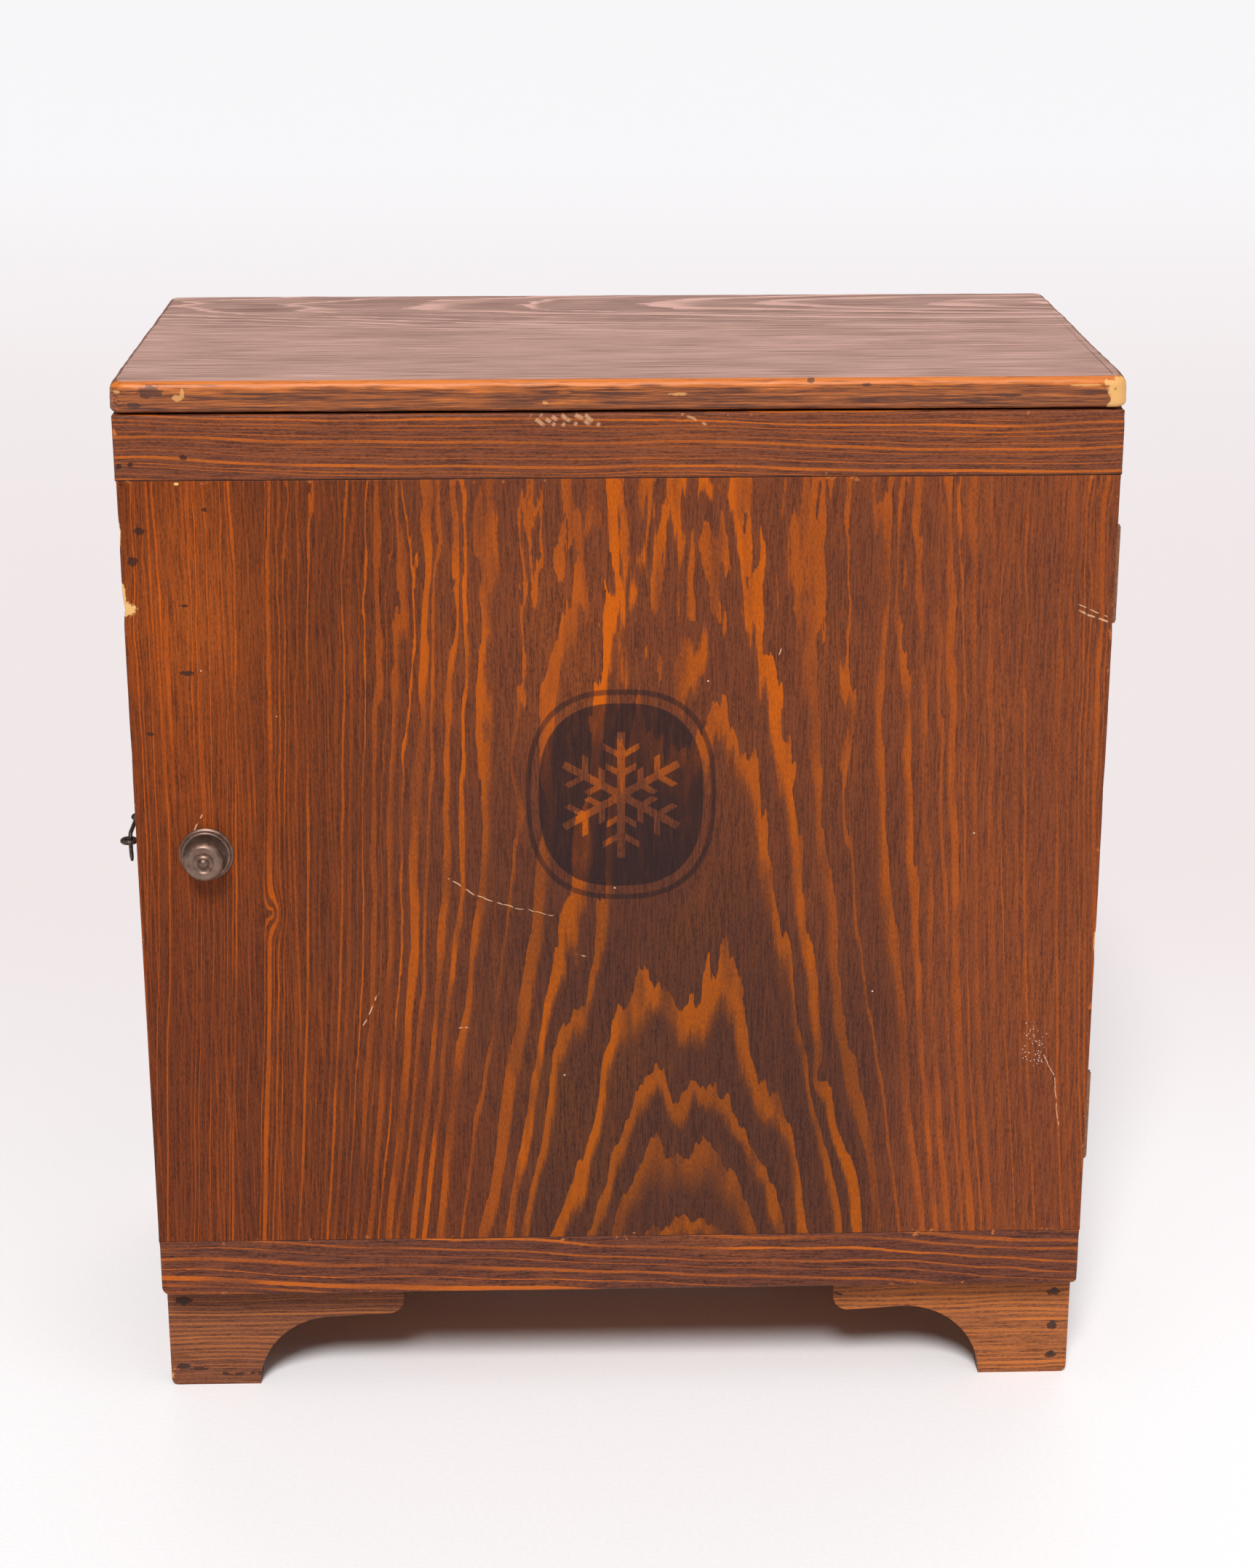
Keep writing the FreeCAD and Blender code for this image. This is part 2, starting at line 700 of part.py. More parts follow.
def door_inside():
    """Insulated plug that fills the opening, and the gasket round it."""
    depth = [DOOR_BACK_AT, PLUG_BACK_AT]
    outside = box("plug_outside", across(PLUG_HALF), depth, [PLUG_LOW_AT, PLUG_HIGH_AT])
    well_half = f"{PLUG_HALF} - plug_frame_wide"
    well_height = [f"{PLUG_LOW_AT} + plug_frame_wide", f"{PLUG_HIGH_AT} - plug_frame_wide"]
    well = box("plug_well", across(well_half), depth, well_height)
    keep(cut("plug_frame_cut", outside, well), "door_plug_frame")
    sheet_front = f"{PLUG_BACK_AT} - zinc_thick"
    keep(box("plug_cork", across(well_half), [DOOR_BACK_AT, sheet_front], well_height), "door_insulation")
    keep(box("plug_zinc", across(well_half), [sheet_front, PLUG_BACK_AT], well_height), "door_liner_sheet")

    seal_depth = [DOOR_BACK_AT, f"{DOOR_BACK_AT} + gasket_thick"]
    reach = "gasket_gap + gasket_wide"
    seal = box("seal_outside", across(f"{OPENING_HALF} + {reach}"), seal_depth,
               [f"{OPENING_LOW_AT} - ({reach})", f"{OPENING_HIGH_AT} + {reach}"])
    hole = box("seal_inside", across(f"{OPENING_HALF} + gasket_gap"), seal_depth,
               [f"{OPENING_LOW_AT} - gasket_gap", f"{OPENING_HIGH_AT} + gasket_gap"])
    keep(cut("seal_cut", seal, hole), "door_gasket")


# ---------------------------------------------------------------- hinges

HINGES = ("upper", "lower")
LEAF_INNER_X_AT = "hinge_axis_x_at - leaf_wide"
LEAF_OUTER_X_AT = "hinge_axis_x_at - relief_radius"
CASE_LEAF_FACE_AT = "hinge_axis_y_at + leaf_gap / 2"
DOOR_LEAF_FACE_AT = "hinge_axis_y_at - leaf_gap / 2"
KNUCKLES = 5


def hinge_span(level, margin="0"):
    return [f"hinge_{level}_at - hinge_tall / 2 - {margin}", f"hinge_{level}_at + hinge_tall / 2 + {margin}"]


def leaf_screws(owner, face, towards):
    """Three countersunk screws in each of the two leaves on one side, and their blanks."""
    blanks, slots = [], []
    for level in HINGES:
        for step in (-1, 0, 1):
            at = ("leaf_screw_x_at", face, f"hinge_{level}_at + {step} * leaf_screw_pitch")
            name = f"{owner}_screw_{level}_{step + 1}"
            blanks.append(screw_blank(name, at, towards))
            slots.append(screw_slot(name + "_slot", at, towards))
    blank = group(f"{owner}_screw_blanks", blanks)
    keep(cut(f"{owner}_screw_cut", blank, group(f"{owner}_screw_slots", slots)), f"hinge_screws_{owner}")
    return blank


def leaf_depth(owner):
    if owner == "case":
        return [CASE_LEAF_FACE_AT, f"{CASE_LEAF_FACE_AT} + leaf_thick"]
    return [f"{DOOR_LEAF_FACE_AT} - leaf_thick", DOOR_LEAF_FACE_AT]


def hinge_leaf(owner, level, screws):
    """Leaf with its own knuckles: the case has the odd ones from below, the door the even ones."""
    name = f"{owner}_leaf_{level}"
    low, high = hinge_span(level)
    depth = leaf_depth(owner)
    pieces = [box(name + "_plate", [LEAF_INNER_X_AT, LEAF_OUTER_X_AT], depth, [low, high])]
    pitch = f"hinge_tall / {KNUCKLES}"
    for number in range(0 if owner == "case" else 1, KNUCKLES, 2):
        bottom = f"{low} + {number} * {pitch} + knuckle_gap / 2"
        tall = f"{pitch} - knuckle_gap"
        axis_at = ("hinge_axis_x_at", "hinge_axis_y_at", bottom)
        pieces.append(rod(f"{name}_knuckle_{number}", axis_at, "+z", tall, "knuckle_radius"))
        pieces.append(box(f"{name}_tab_{number}", [f"{LEAF_OUTER_X_AT} - 1", "hinge_axis_x_at"], depth,
                          [bottom, f"{bottom} + {tall}"]))
    bore_radius = "hinge_pin_radius + hinge_pin_play"
    bore = rod(name + "_bore", ("hinge_axis_x_at", "hinge_axis_y_at", f"{low} - 1"), "+z", "hinge_tall + 2",
               bore_radius)
    leaf = cut(name + "_bored", fuse(name + "_joined", pieces), bore)
    keep(cut(name + "_cut", leaf, screws), f"hinge_{level}_{owner}_leaf")


def hinge_pins():
    pins = []
    for level in HINGES:
        low, high = hinge_span(level)
        pieces = [rod(f"pin_{level}_shaft", ("hinge_axis_x_at", "hinge_axis_y_at", low), "+z", "hinge_tall",
                      "hinge_pin_radius")]
        for end, at, towards in (("low", low, "-z"), ("high", high, "+z")):
            pieces.append(rod(f"pin_{level}_{end}_head", ("hinge_axis_x_at", "hinge_axis_y_at", at), towards,
                              "hinge_pin_head_tall", "hinge_pin_head_radius"))
        pins.append(fuse(f"pin_{level}", pieces))
    keep(group("hinge_pin_group", pins), "hinge_pins")


def mortises():
    """Shallow beds of the case's leaves in the front edge of the right side and stile."""
    beds = []
    for level in HINGES:
        beds.append(box(f"mortise_{level}", [LEAF_INNER_X_AT, f"{HALF_CASE} + 1"],
                        ["case_front_at - 1", f"{CASE_LEAF_FACE_AT} + leaf_thick"], hinge_span(level)))
    return group("mortise_group", beds)


def reliefs():
    """Room in the back corner of the door for its leaves and all the knuckles."""
    rooms = []
    for level in HINGES:
        low, high = hinge_span(level, "hinge_pin_head_tall + 0.3")
        rooms.append(box(f"relief_{level}_bed", [LEAF_INNER_X_AT, f"{LEAF_OUTER_X_AT} + 3"],
                         [f"{DOOR_LEAF_FACE_AT} - leaf_thick", f"{DOOR_BACK_AT} + 1"], hinge_span(level)))
        rooms.append(rod(f"relief_{level}_knuckles", ("hinge_axis_x_at", "hinge_axis_y_at", low), "+z",
                         f"{high} - ({low})", "relief_radius"))
    return fuse("relief_group", rooms)


# ---------------------------------------------------------------- knob

def knob():
    """Turned pull knob on a rose, held by a screw from behind."""
    outward = TURN_TO["-y"]
    neck_seat = "rose_floor_high"
    rose = turned("rose_body", [
        ("knob_bore_radius", "0"),
        ("rose_radius", "0"),
        ("rose_radius", "rose_edge_thick"),
        ("rose_rim_radius + 1.6", "rose_edge_thick + 0.9"),
        ("rose_rim_radius + 1.2", "rose_rim_high - 1", "1.3"),
        ("rose_rim_radius - 1.2", "rose_rim_high - 0.8"),
        ("rose_well_radius", neck_seat),
        ("knob_bore_radius", neck_seat),
    ])
    keep(place(rose, "knob_x_at", "door_front_at", "knob_z_at", outward), "knob_rose")

    head = turned("knob_body", [
        ("0", "rose_floor_high + 9"),
        ("knob_bore_radius", "rose_floor_high + 9"),
        ("knob_bore_radius", neck_seat),
        ("knob_neck_radius + 0.8", neck_seat),
        ("knob_neck_radius", f"{neck_seat} + 3", "-9"),
        ("knob_radius - 1.2", "knob_edge_high - 1.6", "1.7"),
        ("knob_radius", "knob_edge_high", "5"),
        ("knob_shoulder_radius", "knob_shoulder_high"),
        ("knob_dish_radius + 1.6", "knob_shoulder_high", "-4"),
        ("knob_dish_radius - 0.6", "knob_dish_high"),
        ("knob_boss_radius", "knob_dish_high + 0.7", "3.5"),
        ("knob_boss_flat_radius", "knob_high"),
        ("0", "knob_high"),
    ])
    keep(place(head, "knob_x_at", "door_front_at", "knob_z_at", outward), "knob")


def knob_screw():
    """Screw from the back of the door, through the panel and the rose, into the knob."""
    back = DOOR_BACK_AT
    head = rod("knob_screw_head", ("knob_x_at", back, "knob_z_at"), "-y", "knob_screw_head_deep",
               "knob_screw_head_radius", "knob_bore_radius")
    shank = rod("knob_screw_shank", ("knob_x_at", back, "knob_z_at"), "-y", "knob_screw_long",
                "knob_bore_radius")
    return keep(fuse("knob_screw_whole", [head, shank]), "knob_screw")


# ---------------------------------------------------------------- latch

PIVOT_Y_AT = "catch_eye_y_at + hook_long"


def screw_eye(name, ring_x, ring_y, label):
    """Wire ring lying flat, on a shank driven towards +X."""
    halves = flat_ring(name + "_ring", (ring_x, ring_y, "latch_z_at"), "eye_radius", "eye_wire_radius")
    shank = rod(name + "_shank", (f"{ring_x} + eye_radius", ring_y, "latch_z_at"), "+x", "eye_shank_long",
                "eye_shank_radius")
    return keep(fuse(name, halves + [shank]), label)


def hook():
    """Hook that swings about the wire of its eye; its leg is curved about the same axis."""
    # Path of the wire round the pivot, across (+Y) and up: loop, bar, bend and leg, all tangent.
    bend_out = "sqrt((hook_long - hook_bend_radius)^2 - (hook_loop_radius - hook_bend_radius)^2)"
    leg_scale = "hook_long / (hook_long - hook_bend_radius)"
    path = [
        ("-hook_loop_radius * cos(hook_eye_gap_angle)", "hook_loop_radius * sin(hook_eye_gap_angle)",
         "hook_loop_radius"),
        ("0", "-hook_loop_radius", "hook_loop_radius"),
        ("hook_loop_radius", "0", "hook_loop_radius"),
        ("0", "hook_loop_radius"),
        (f"-{bend_out}", "hook_loop_radius", "hook_bend_radius"),
        (f"-{leg_scale} * {bend_out}", f"{leg_scale} * (hook_loop_radius - hook_bend_radius)", "hook_long"),
        ("-hook_long * cos(hook_leg_angle)", "-hook_long * sin(hook_leg_angle)"),
    ]
    line = doc.addObject("Sketcher::SketchObject", "hook_path")
    draw_path(line, path)
    pivot = ("hook_x_at", PIVOT_Y_AT, "latch_z_at")
    place(line, *pivot, Rotation(Vector(0, 1, 0), Vector(0, 0, 1), Vector(1, 0, 0), "XYZ"))

    section = bind(doc.addObject("Part::Circle", "hook_section"), {"Radius": "hook_wire_radius"})
    gap = math.radians(value("hook_eye_gap_angle"))
    start = (pivot[0], f"{PIVOT_Y_AT} - hook_loop_radius * cos(hook_eye_gap_angle)",
             "latch_z_at + hook_loop_radius * sin(hook_eye_gap_angle)")
    place(section, *start, Rotation(Vector(0, 0, 1), Vector(0, -math.sin(gap), -math.cos(gap))))
    wire = doc.addObject("Part::Sweep", "hook_wire")
    wire.Sections = [section]
    wire.Spine = (line, [f"Edge{number}" for number in range(1, len(path))])
    wire.Solid = True

    tip = bind(doc.addObject("Part::Cone", "hook_tip"),
               {"Radius1": "hook_wire_radius", "Radius2": "hook_tip_radius", "Height": "hook_tip_long"})
    down = math.radians(value("hook_leg_angle"))
    tip_at = (pivot[0], f"{PIVOT_Y_AT} - hook_long * cos(hook_leg_angle)",
              "latch_z_at - hook_long * sin(hook_leg_angle)")
    place(tip, *tip_at, Rotation(Vector(0, 0, 1), Vector(0, math.sin(down), -math.cos(down))))
    keep(fuse("hook_whole", [wire, tip]), "hook")


# ---------------------------------------------------------------- inside

def cleats(level, shelf):
    """Strip at each side that carries a shelf from below."""
    for side in SIDES:
        strip = box(f"{shelf}_cleat_{side}_block", span(side, f"{OPENING_HALF} - cleat_wide", OPENING_HALF),
                    ["cleat_front_at", "cleat_back_at"], [f"{level} - cleat_wide", level])
        keep(strip, f"{shelf}_cleat_{side}")


def wire_grid(name, half, front, back, level, frame_radius, wire_radius, pitch):
    """Frame of thick wire with thinner wires from front to back, all with their axes at one level."""
    pieces = []
    for end, at in (("front", front), ("back", back)):
        pieces.append(rod(f"{name}_{end}", (f"-({half})", at, level), "+x", f"2 * ({half})", frame_radius))
    for side, sign in SIDES.items():
        edge = f"{sign} * ({half})"
        pieces.append(rod(f"{name}_{side}", (edge, front, level), "+y", f"{back} - ({front})", frame_radius))
        for end, at in (("front", front), ("back", back)):
            pieces.append(ball(f"{name}_{side}_{end}", (edge, at, level), frame_radius))
    reach = int((value(half) - value(pitch) / 2) // value(pitch))
    for number in range(-reach, reach + 1):
        pieces.append(rod(f"{name}_wire_{number + reach}", (f"{number} * {pitch}", front, level), "+y",
                          f"{back} - ({front})", wire_radius))
    return pieces


def wire_shelf():
    half = "tray_half_wide - shelf_frame_radius"
    level = "shelf_level_at + shelf_frame_radius"
    pieces = wire_grid("shelf", half, "shelf_front_at", "shelf_back_at", level,
                       "shelf_frame_radius", "shelf_wire_radius", "shelf_wire_pitch")
    keep(fuse("shelf_whole", pieces), "wire_shelf")


def ice_rack():
    """Grid on four short legs, which keeps the ice out of its meltwater."""
    floor = "tray_level_at + zinc_thick"
    level = f"{floor} + rack_leg_high"
    pieces = wire_grid("rack", "rack_half_wide", "rack_front_at", "rack_back_at", level,
                       "rack_frame_radius", "rack_wire_radius", "rack_wire_pitch")
    for side, sign in SIDES.items():
        for end in ("front", "back"):
            at = (f"{sign} * rack_half_wide", f"rack_{end}_at", floor)
            pieces.append(rod(f"rack_leg_{side}_{end}", at, "+z", "rack_leg_high", "rack_frame_radius"))
    keep(fuse("rack_whole", pieces), "ice_rack")


def ice_tray():
    """Zinc tray under the ice, with a short spout over the drain pipe."""
    depth = ["tray_front_at", "tray_back_at"]
    outside = box("tray_outside", across("tray_half_wide"), depth,
                  ["tray_level_at", "tray_level_at + tray_tall"])
    inside = box("tray_inside", across("tray_half_wide - zinc_thick"),
                 ["tray_front_at + zinc_thick", "tray_back_at - zinc_thick"],
                 ["tray_level_at + zinc_thick", "tray_level_at + tray_tall"])
    spout_at = ("0", "drain_y_at", "tray_level_at - spout_long")
    spout = rod("spout_outside", spout_at, "+z", "spout_long", "spout_radius")
    bore = rod("spout_bore", spout_at, "+z", "spout_long + zinc_thick", "spout_radius - zinc_thick")
    keep(cut("tray_drained", fuse("tray_with_spout", [cut("tray_hollow", outside, inside), spout]), bore),
         "ice_tray")


def drain_pipe():
    """Pipe from a funnel below the tray's spout down through the floor."""
    inner = "pipe_radius - pipe_wall"
    mouth = "funnel_radius - pipe_wall"
    pipe = turned("pipe_body", [
        (inner, "pipe_end_at"),
        ("pipe_radius", "pipe_end_at"),
        ("pipe_radius", "funnel_top_at - funnel_tall"),
        ("funnel_radius", "funnel_top_at"),
        (mouth, "funnel_top_at"),
        (inner, "funnel_top_at - funnel_tall"),
    ])
    keep(place(pipe, "0", "drain_y_at", "0"), "drain_pipe")


def drip_pan():
    depth = ["pan_front_at", "pan_front_at + pan_deep"]
    outside = box("pan_outside", across("pan_half_wide"), depth, ["0", "pan_tall"])
    inside = box("pan_inside", across("pan_half_wide - pan_wall"),
                 ["pan_front_at + pan_wall", "pan_front_at + pan_deep - pan_wall"], ["pan_wall", "pan_tall"])
    keep(cut("pan_hollow", outside, inside), "drip_pan")


# ---------------------------------------------------------------- assembly

def build():
    fill_sheet()
    nails = case_nails()
    catch_eye = screw_eye("catch_eye", "catch_eye_x_at", "catch_eye_y_at", "hook_catch_eye")
    pivot_eye = screw_eye("pivot_eye", "hook_x_at", f"{PIVOT_Y_AT} + eye_radius", "hook_pivot_eye")
    case_screws = leaf_screws("case", CASE_LEAF_FACE_AT, "+y")
    door_screws = leaf_screws("door", DOOR_LEAF_FACE_AT, "-y")
    hinge_mortises = mortises()

    case_boards(nails, hinge_mortises, case_screws, pivot_eye)
    face_frame(hinge_mortises)
    insulation()
    liner()
    top_board()
    feet(foot_nails())
    glue_blocks()

    door_boards(reliefs(), door_screws, knob_screw(), catch_eye)
    door_inside()
    for level in HINGES:
        hinge_leaf("case", level, case_screws)
        hinge_leaf("door", level, door_screws)
    hinge_pins()
    knob()
    hook()

    cleats("tray_level_at", "tray")
    cleats("shelf_level_at", "shelf")
    wire_shelf()
    ice_rack()
    ice_tray()
    drain_pipe()
    drip_pan()


def check():
    """Stop at a failed feature, an empty or invalid shape, or a name that is used twice."""
    doc.recompute()
    for item in doc.Objects:
        if {"Invalid", "Error"} & set(item.State):
            raise RuntimeError(f"{item.Name} failed: {item.State}")
    for node in nodes:
        if node.Shape.isNull() or not node.Shape.isValid() or not node.Shape.Solids:
            raise RuntimeError(f"{node.Label} has no valid shape")
    labels = [node.Label for node in nodes]
    if len(set(labels)) != len(labels):
        raise RuntimeError("two sub-parts share a label")


def export():
    os.makedirs("parts", exist_ok=True)
    for node in nodes:
        node.Shape.exportStep(os.path.join("parts", node.Label + ".step"))
    print(f"{len(nodes)} sub-parts written")


build()
check()
export()
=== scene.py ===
import math

import bmesh
import bpy
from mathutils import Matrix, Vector, noise


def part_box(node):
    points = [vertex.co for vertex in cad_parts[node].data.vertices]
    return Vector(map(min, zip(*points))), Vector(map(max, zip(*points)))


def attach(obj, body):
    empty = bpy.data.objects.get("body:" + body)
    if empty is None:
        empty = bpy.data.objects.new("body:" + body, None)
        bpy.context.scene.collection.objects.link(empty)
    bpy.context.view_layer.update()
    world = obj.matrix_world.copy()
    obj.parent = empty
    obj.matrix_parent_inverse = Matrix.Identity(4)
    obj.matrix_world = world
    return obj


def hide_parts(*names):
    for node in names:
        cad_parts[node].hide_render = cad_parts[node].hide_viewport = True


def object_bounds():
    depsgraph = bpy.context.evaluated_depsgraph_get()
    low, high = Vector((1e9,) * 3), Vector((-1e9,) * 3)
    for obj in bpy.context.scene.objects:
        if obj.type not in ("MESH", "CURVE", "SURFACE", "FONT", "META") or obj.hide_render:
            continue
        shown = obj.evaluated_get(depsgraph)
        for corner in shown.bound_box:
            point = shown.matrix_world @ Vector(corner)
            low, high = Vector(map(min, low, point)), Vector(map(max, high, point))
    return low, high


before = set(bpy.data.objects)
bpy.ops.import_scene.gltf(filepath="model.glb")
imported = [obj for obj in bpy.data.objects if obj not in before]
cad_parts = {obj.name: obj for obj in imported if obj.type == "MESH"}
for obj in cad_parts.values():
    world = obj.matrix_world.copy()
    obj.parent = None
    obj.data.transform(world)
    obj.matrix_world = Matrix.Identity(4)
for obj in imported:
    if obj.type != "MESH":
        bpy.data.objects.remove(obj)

# A small wooden icebox: boards of stained softwood with a bold grain, a brass knob and a wire hook.
# The frame gives every place and size; this script gives the boards their worn edges and every
# piece its material. Lengths are in metres unless a name ends in _mm.

cad_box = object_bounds()
MM = 0.001


def corners(node):
    """Lowest and highest corner of a CAD node as two vectors."""
    low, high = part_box(node)
    return Vector(low), Vector(high)


# ---------------------------------------------------------------- shader graph

class Graph:
    """A material's nodes, added one by one. Values may be numbers or other nodes' outputs."""

    def __init__(self, name):
        self.material = bpy.data.materials.new(name)
        self.material.use_nodes = True
        self.tree = self.material.node_tree
        self.tree.nodes.clear()
        self.output = self.tree.nodes.new("ShaderNodeOutputMaterial")
        self.shader = self.tree.nodes.new("ShaderNodeBsdfPrincipled")
        self.tree.links.new(self.shader.outputs[0], self.output.inputs[0])
        coordinates = self.tree.nodes.new("ShaderNodeTexCoord")
        self.place = self.scaled(coordinates.outputs["Object"], 1 / MM)
        self.normal = coordinates.outputs["Normal"]

    def put(self, socket, value):
        if isinstance(value, bpy.types.NodeSocket):
            self.tree.links.new(value, socket)
        else:
            socket.default_value = value

    def maths(self, operation, first, second=0.0, third=0.0):
        node = self.tree.nodes.new("ShaderNodeMath")
        node.operation = operation
        for socket, value in zip(node.inputs, (first, second, third)):
            self.put(socket, value)
        return node.outputs[0]

    def add(self, *values):
        total = values[0]
        for value in values[1:]:
            total = self.maths("ADD", total, value)
        return total

    def times(self, *values):
        product = values[0]
        for value in values[1:]:
            product = self.maths("MULTIPLY", product, value)
        return product

    def minus(self, first, second):
        return self.maths("SUBTRACT", first, second)

    def scaled(self, vector, factor):
        node = self.tree.nodes.new("ShaderNodeVectorMath")
        node.operation = "SCALE"
        self.put(node.inputs[0], vector)
        self.put(node.inputs["Scale"], factor)
        return node.outputs["Vector"]

    def steps(self, size_mm):
        """The surface point, counted in steps of size_mm."""
        return self.scaled(self.place, 1 / size_mm)

    def split(self, vector):
        node = self.tree.nodes.new("ShaderNodeSeparateXYZ")
        self.put(node.inputs[0], vector)
        return tuple(node.outputs)

    def join(self, x, y, z):
        node = self.tree.nodes.new("ShaderNodeCombineXYZ")
        for socket, value in zip(node.inputs, (x, y, z)):
            self.put(socket, value)
        return node.outputs[0]

    def ramp(self, value, start, end, low=0.0, high=1.0, smooth=True):
        """Low up to start, high from end on, and a smooth step between them."""
        node = self.tree.nodes.new("ShaderNodeMapRange")
        node.interpolation_type = "SMOOTHSTEP" if smooth else "LINEAR"
        node.clamp = True
        for socket, number in zip(node.inputs, (value, start, end, low, high)):
            self.put(socket, number)
        return node.outputs[0]

    def noise(self, vector, scale=1.0, detail=2.0, roughness=0.5):
        """Noise about 0, mostly between -0.3 and 0.3."""
        node = self.tree.nodes.new("ShaderNodeTexNoise")
        self.put(node.inputs["Vector"], vector)
        self.put(node.inputs["Scale"], scale)
        self.put(node.inputs["Detail"], detail)
        self.put(node.inputs["Roughness"], roughness)
        return self.minus(node.outputs["Fac"], 0.5)

    def line_noise(self, value, scale=1.0, detail=1.0):
        """Noise about 0 along one number."""
        node = self.tree.nodes.new("ShaderNodeTexNoise")
        node.noise_dimensions = "1D"
        self.put(node.inputs["W"], value)
        self.put(node.inputs["Scale"], scale)
        self.put(node.inputs["Detail"], detail)
        return self.minus(node.outputs["Fac"], 0.5)

    def chance(self, value):
        """A random number from 0 to 1 for each whole number."""
        node = self.tree.nodes.new("ShaderNodeTexWhiteNoise")
        node.noise_dimensions = "1D"
        self.put(node.inputs["W"], value)
        return node.outputs["Value"]

    def cells(self, vector):
        """Distance to the nearest of points strewn one to each unit cube."""
        node = self.tree.nodes.new("ShaderNodeTexVoronoi")
        self.put(node.inputs["Vector"], vector)
        self.put(node.inputs["Scale"], 1.0)
        return node.outputs["Distance"]

    def mix(self, factor, first, second, mode="MIX"):
        node = self.tree.nodes.new("ShaderNodeMix")
        node.data_type = "RGBA"
        node.blend_type = mode
        # Inputs and outputs of other data types share their names, so the colour ones go by number.
        for number, value in ((0, factor), (6, first), (7, second)):
            self.put(node.inputs[number], value)
        return node.outputs[2]

    def finish(self, colour, roughness, height=None, bump_mm=0.1, constants=None):
        """Link the shader; constants are set on its own sockets."""
        self.put(self.shader.inputs["Base Color"], colour)
        self.put(self.shader.inputs["Roughness"], roughness)
        if height is not None:
            bump = self.tree.nodes.new("ShaderNodeBump")
            bump.inputs["Distance"].default_value = bump_mm * MM
            self.put(bump.inputs["Height"], height)
            self.put(self.shader.inputs["Normal"], bump.outputs[0])
        for name, value in (constants or {}).items():
            self.shader.inputs[name].default_value = value
        return self.material


def srgb(red, green, blue):
    """Shader colour from the 0 to 255 values of a colour picker."""
    def linear(channel):
        share = channel / 255
        return share / 12.92 if share <= 0.04045 else ((share + 0.055) / 1.055) ** 2.4
    return (linear(red), linear(green), linear(blue), 1.0)


# ---------------------------------------------------------------- wood

PALE_WOOD = srgb(226, 178, 112)
GRIME = srgb(52, 34, 28)


def board_axes(graph, along, flat):
    """(across, along, depth) of the surface point in mm.

    The grain runs along one axis, and the board's broad faces are flat to another.
    """
    parts = dict(zip("xyz", graph.split(graph.place)))
    across = next(name for name in "xyz" if name not in (along, flat))
    return parts[across], parts[along], parts[flat]


def board_noise(graph, axes, across_mm, along_mm, seed, detail=2.0, roughness=0.5):
    """Noise with one size across the grain and in depth, and another along the grain."""
    across, along, depth = axes
    place = graph.join(graph.times(across, 1 / across_mm), graph.times(along, 1 / along_mm),
                       graph.add(graph.times(depth, 1 / across_mm), seed))
    return graph.noise(place, detail=detail, roughness=roughness)


def bell(graph, *offsets):
    """1 where all offsets are 0, falling to 0 on all sides."""
    squares = [graph.times(offset, offset) for offset in offsets]
    return graph.maths("EXPONENT", graph.times(graph.add(*squares), -1.0))


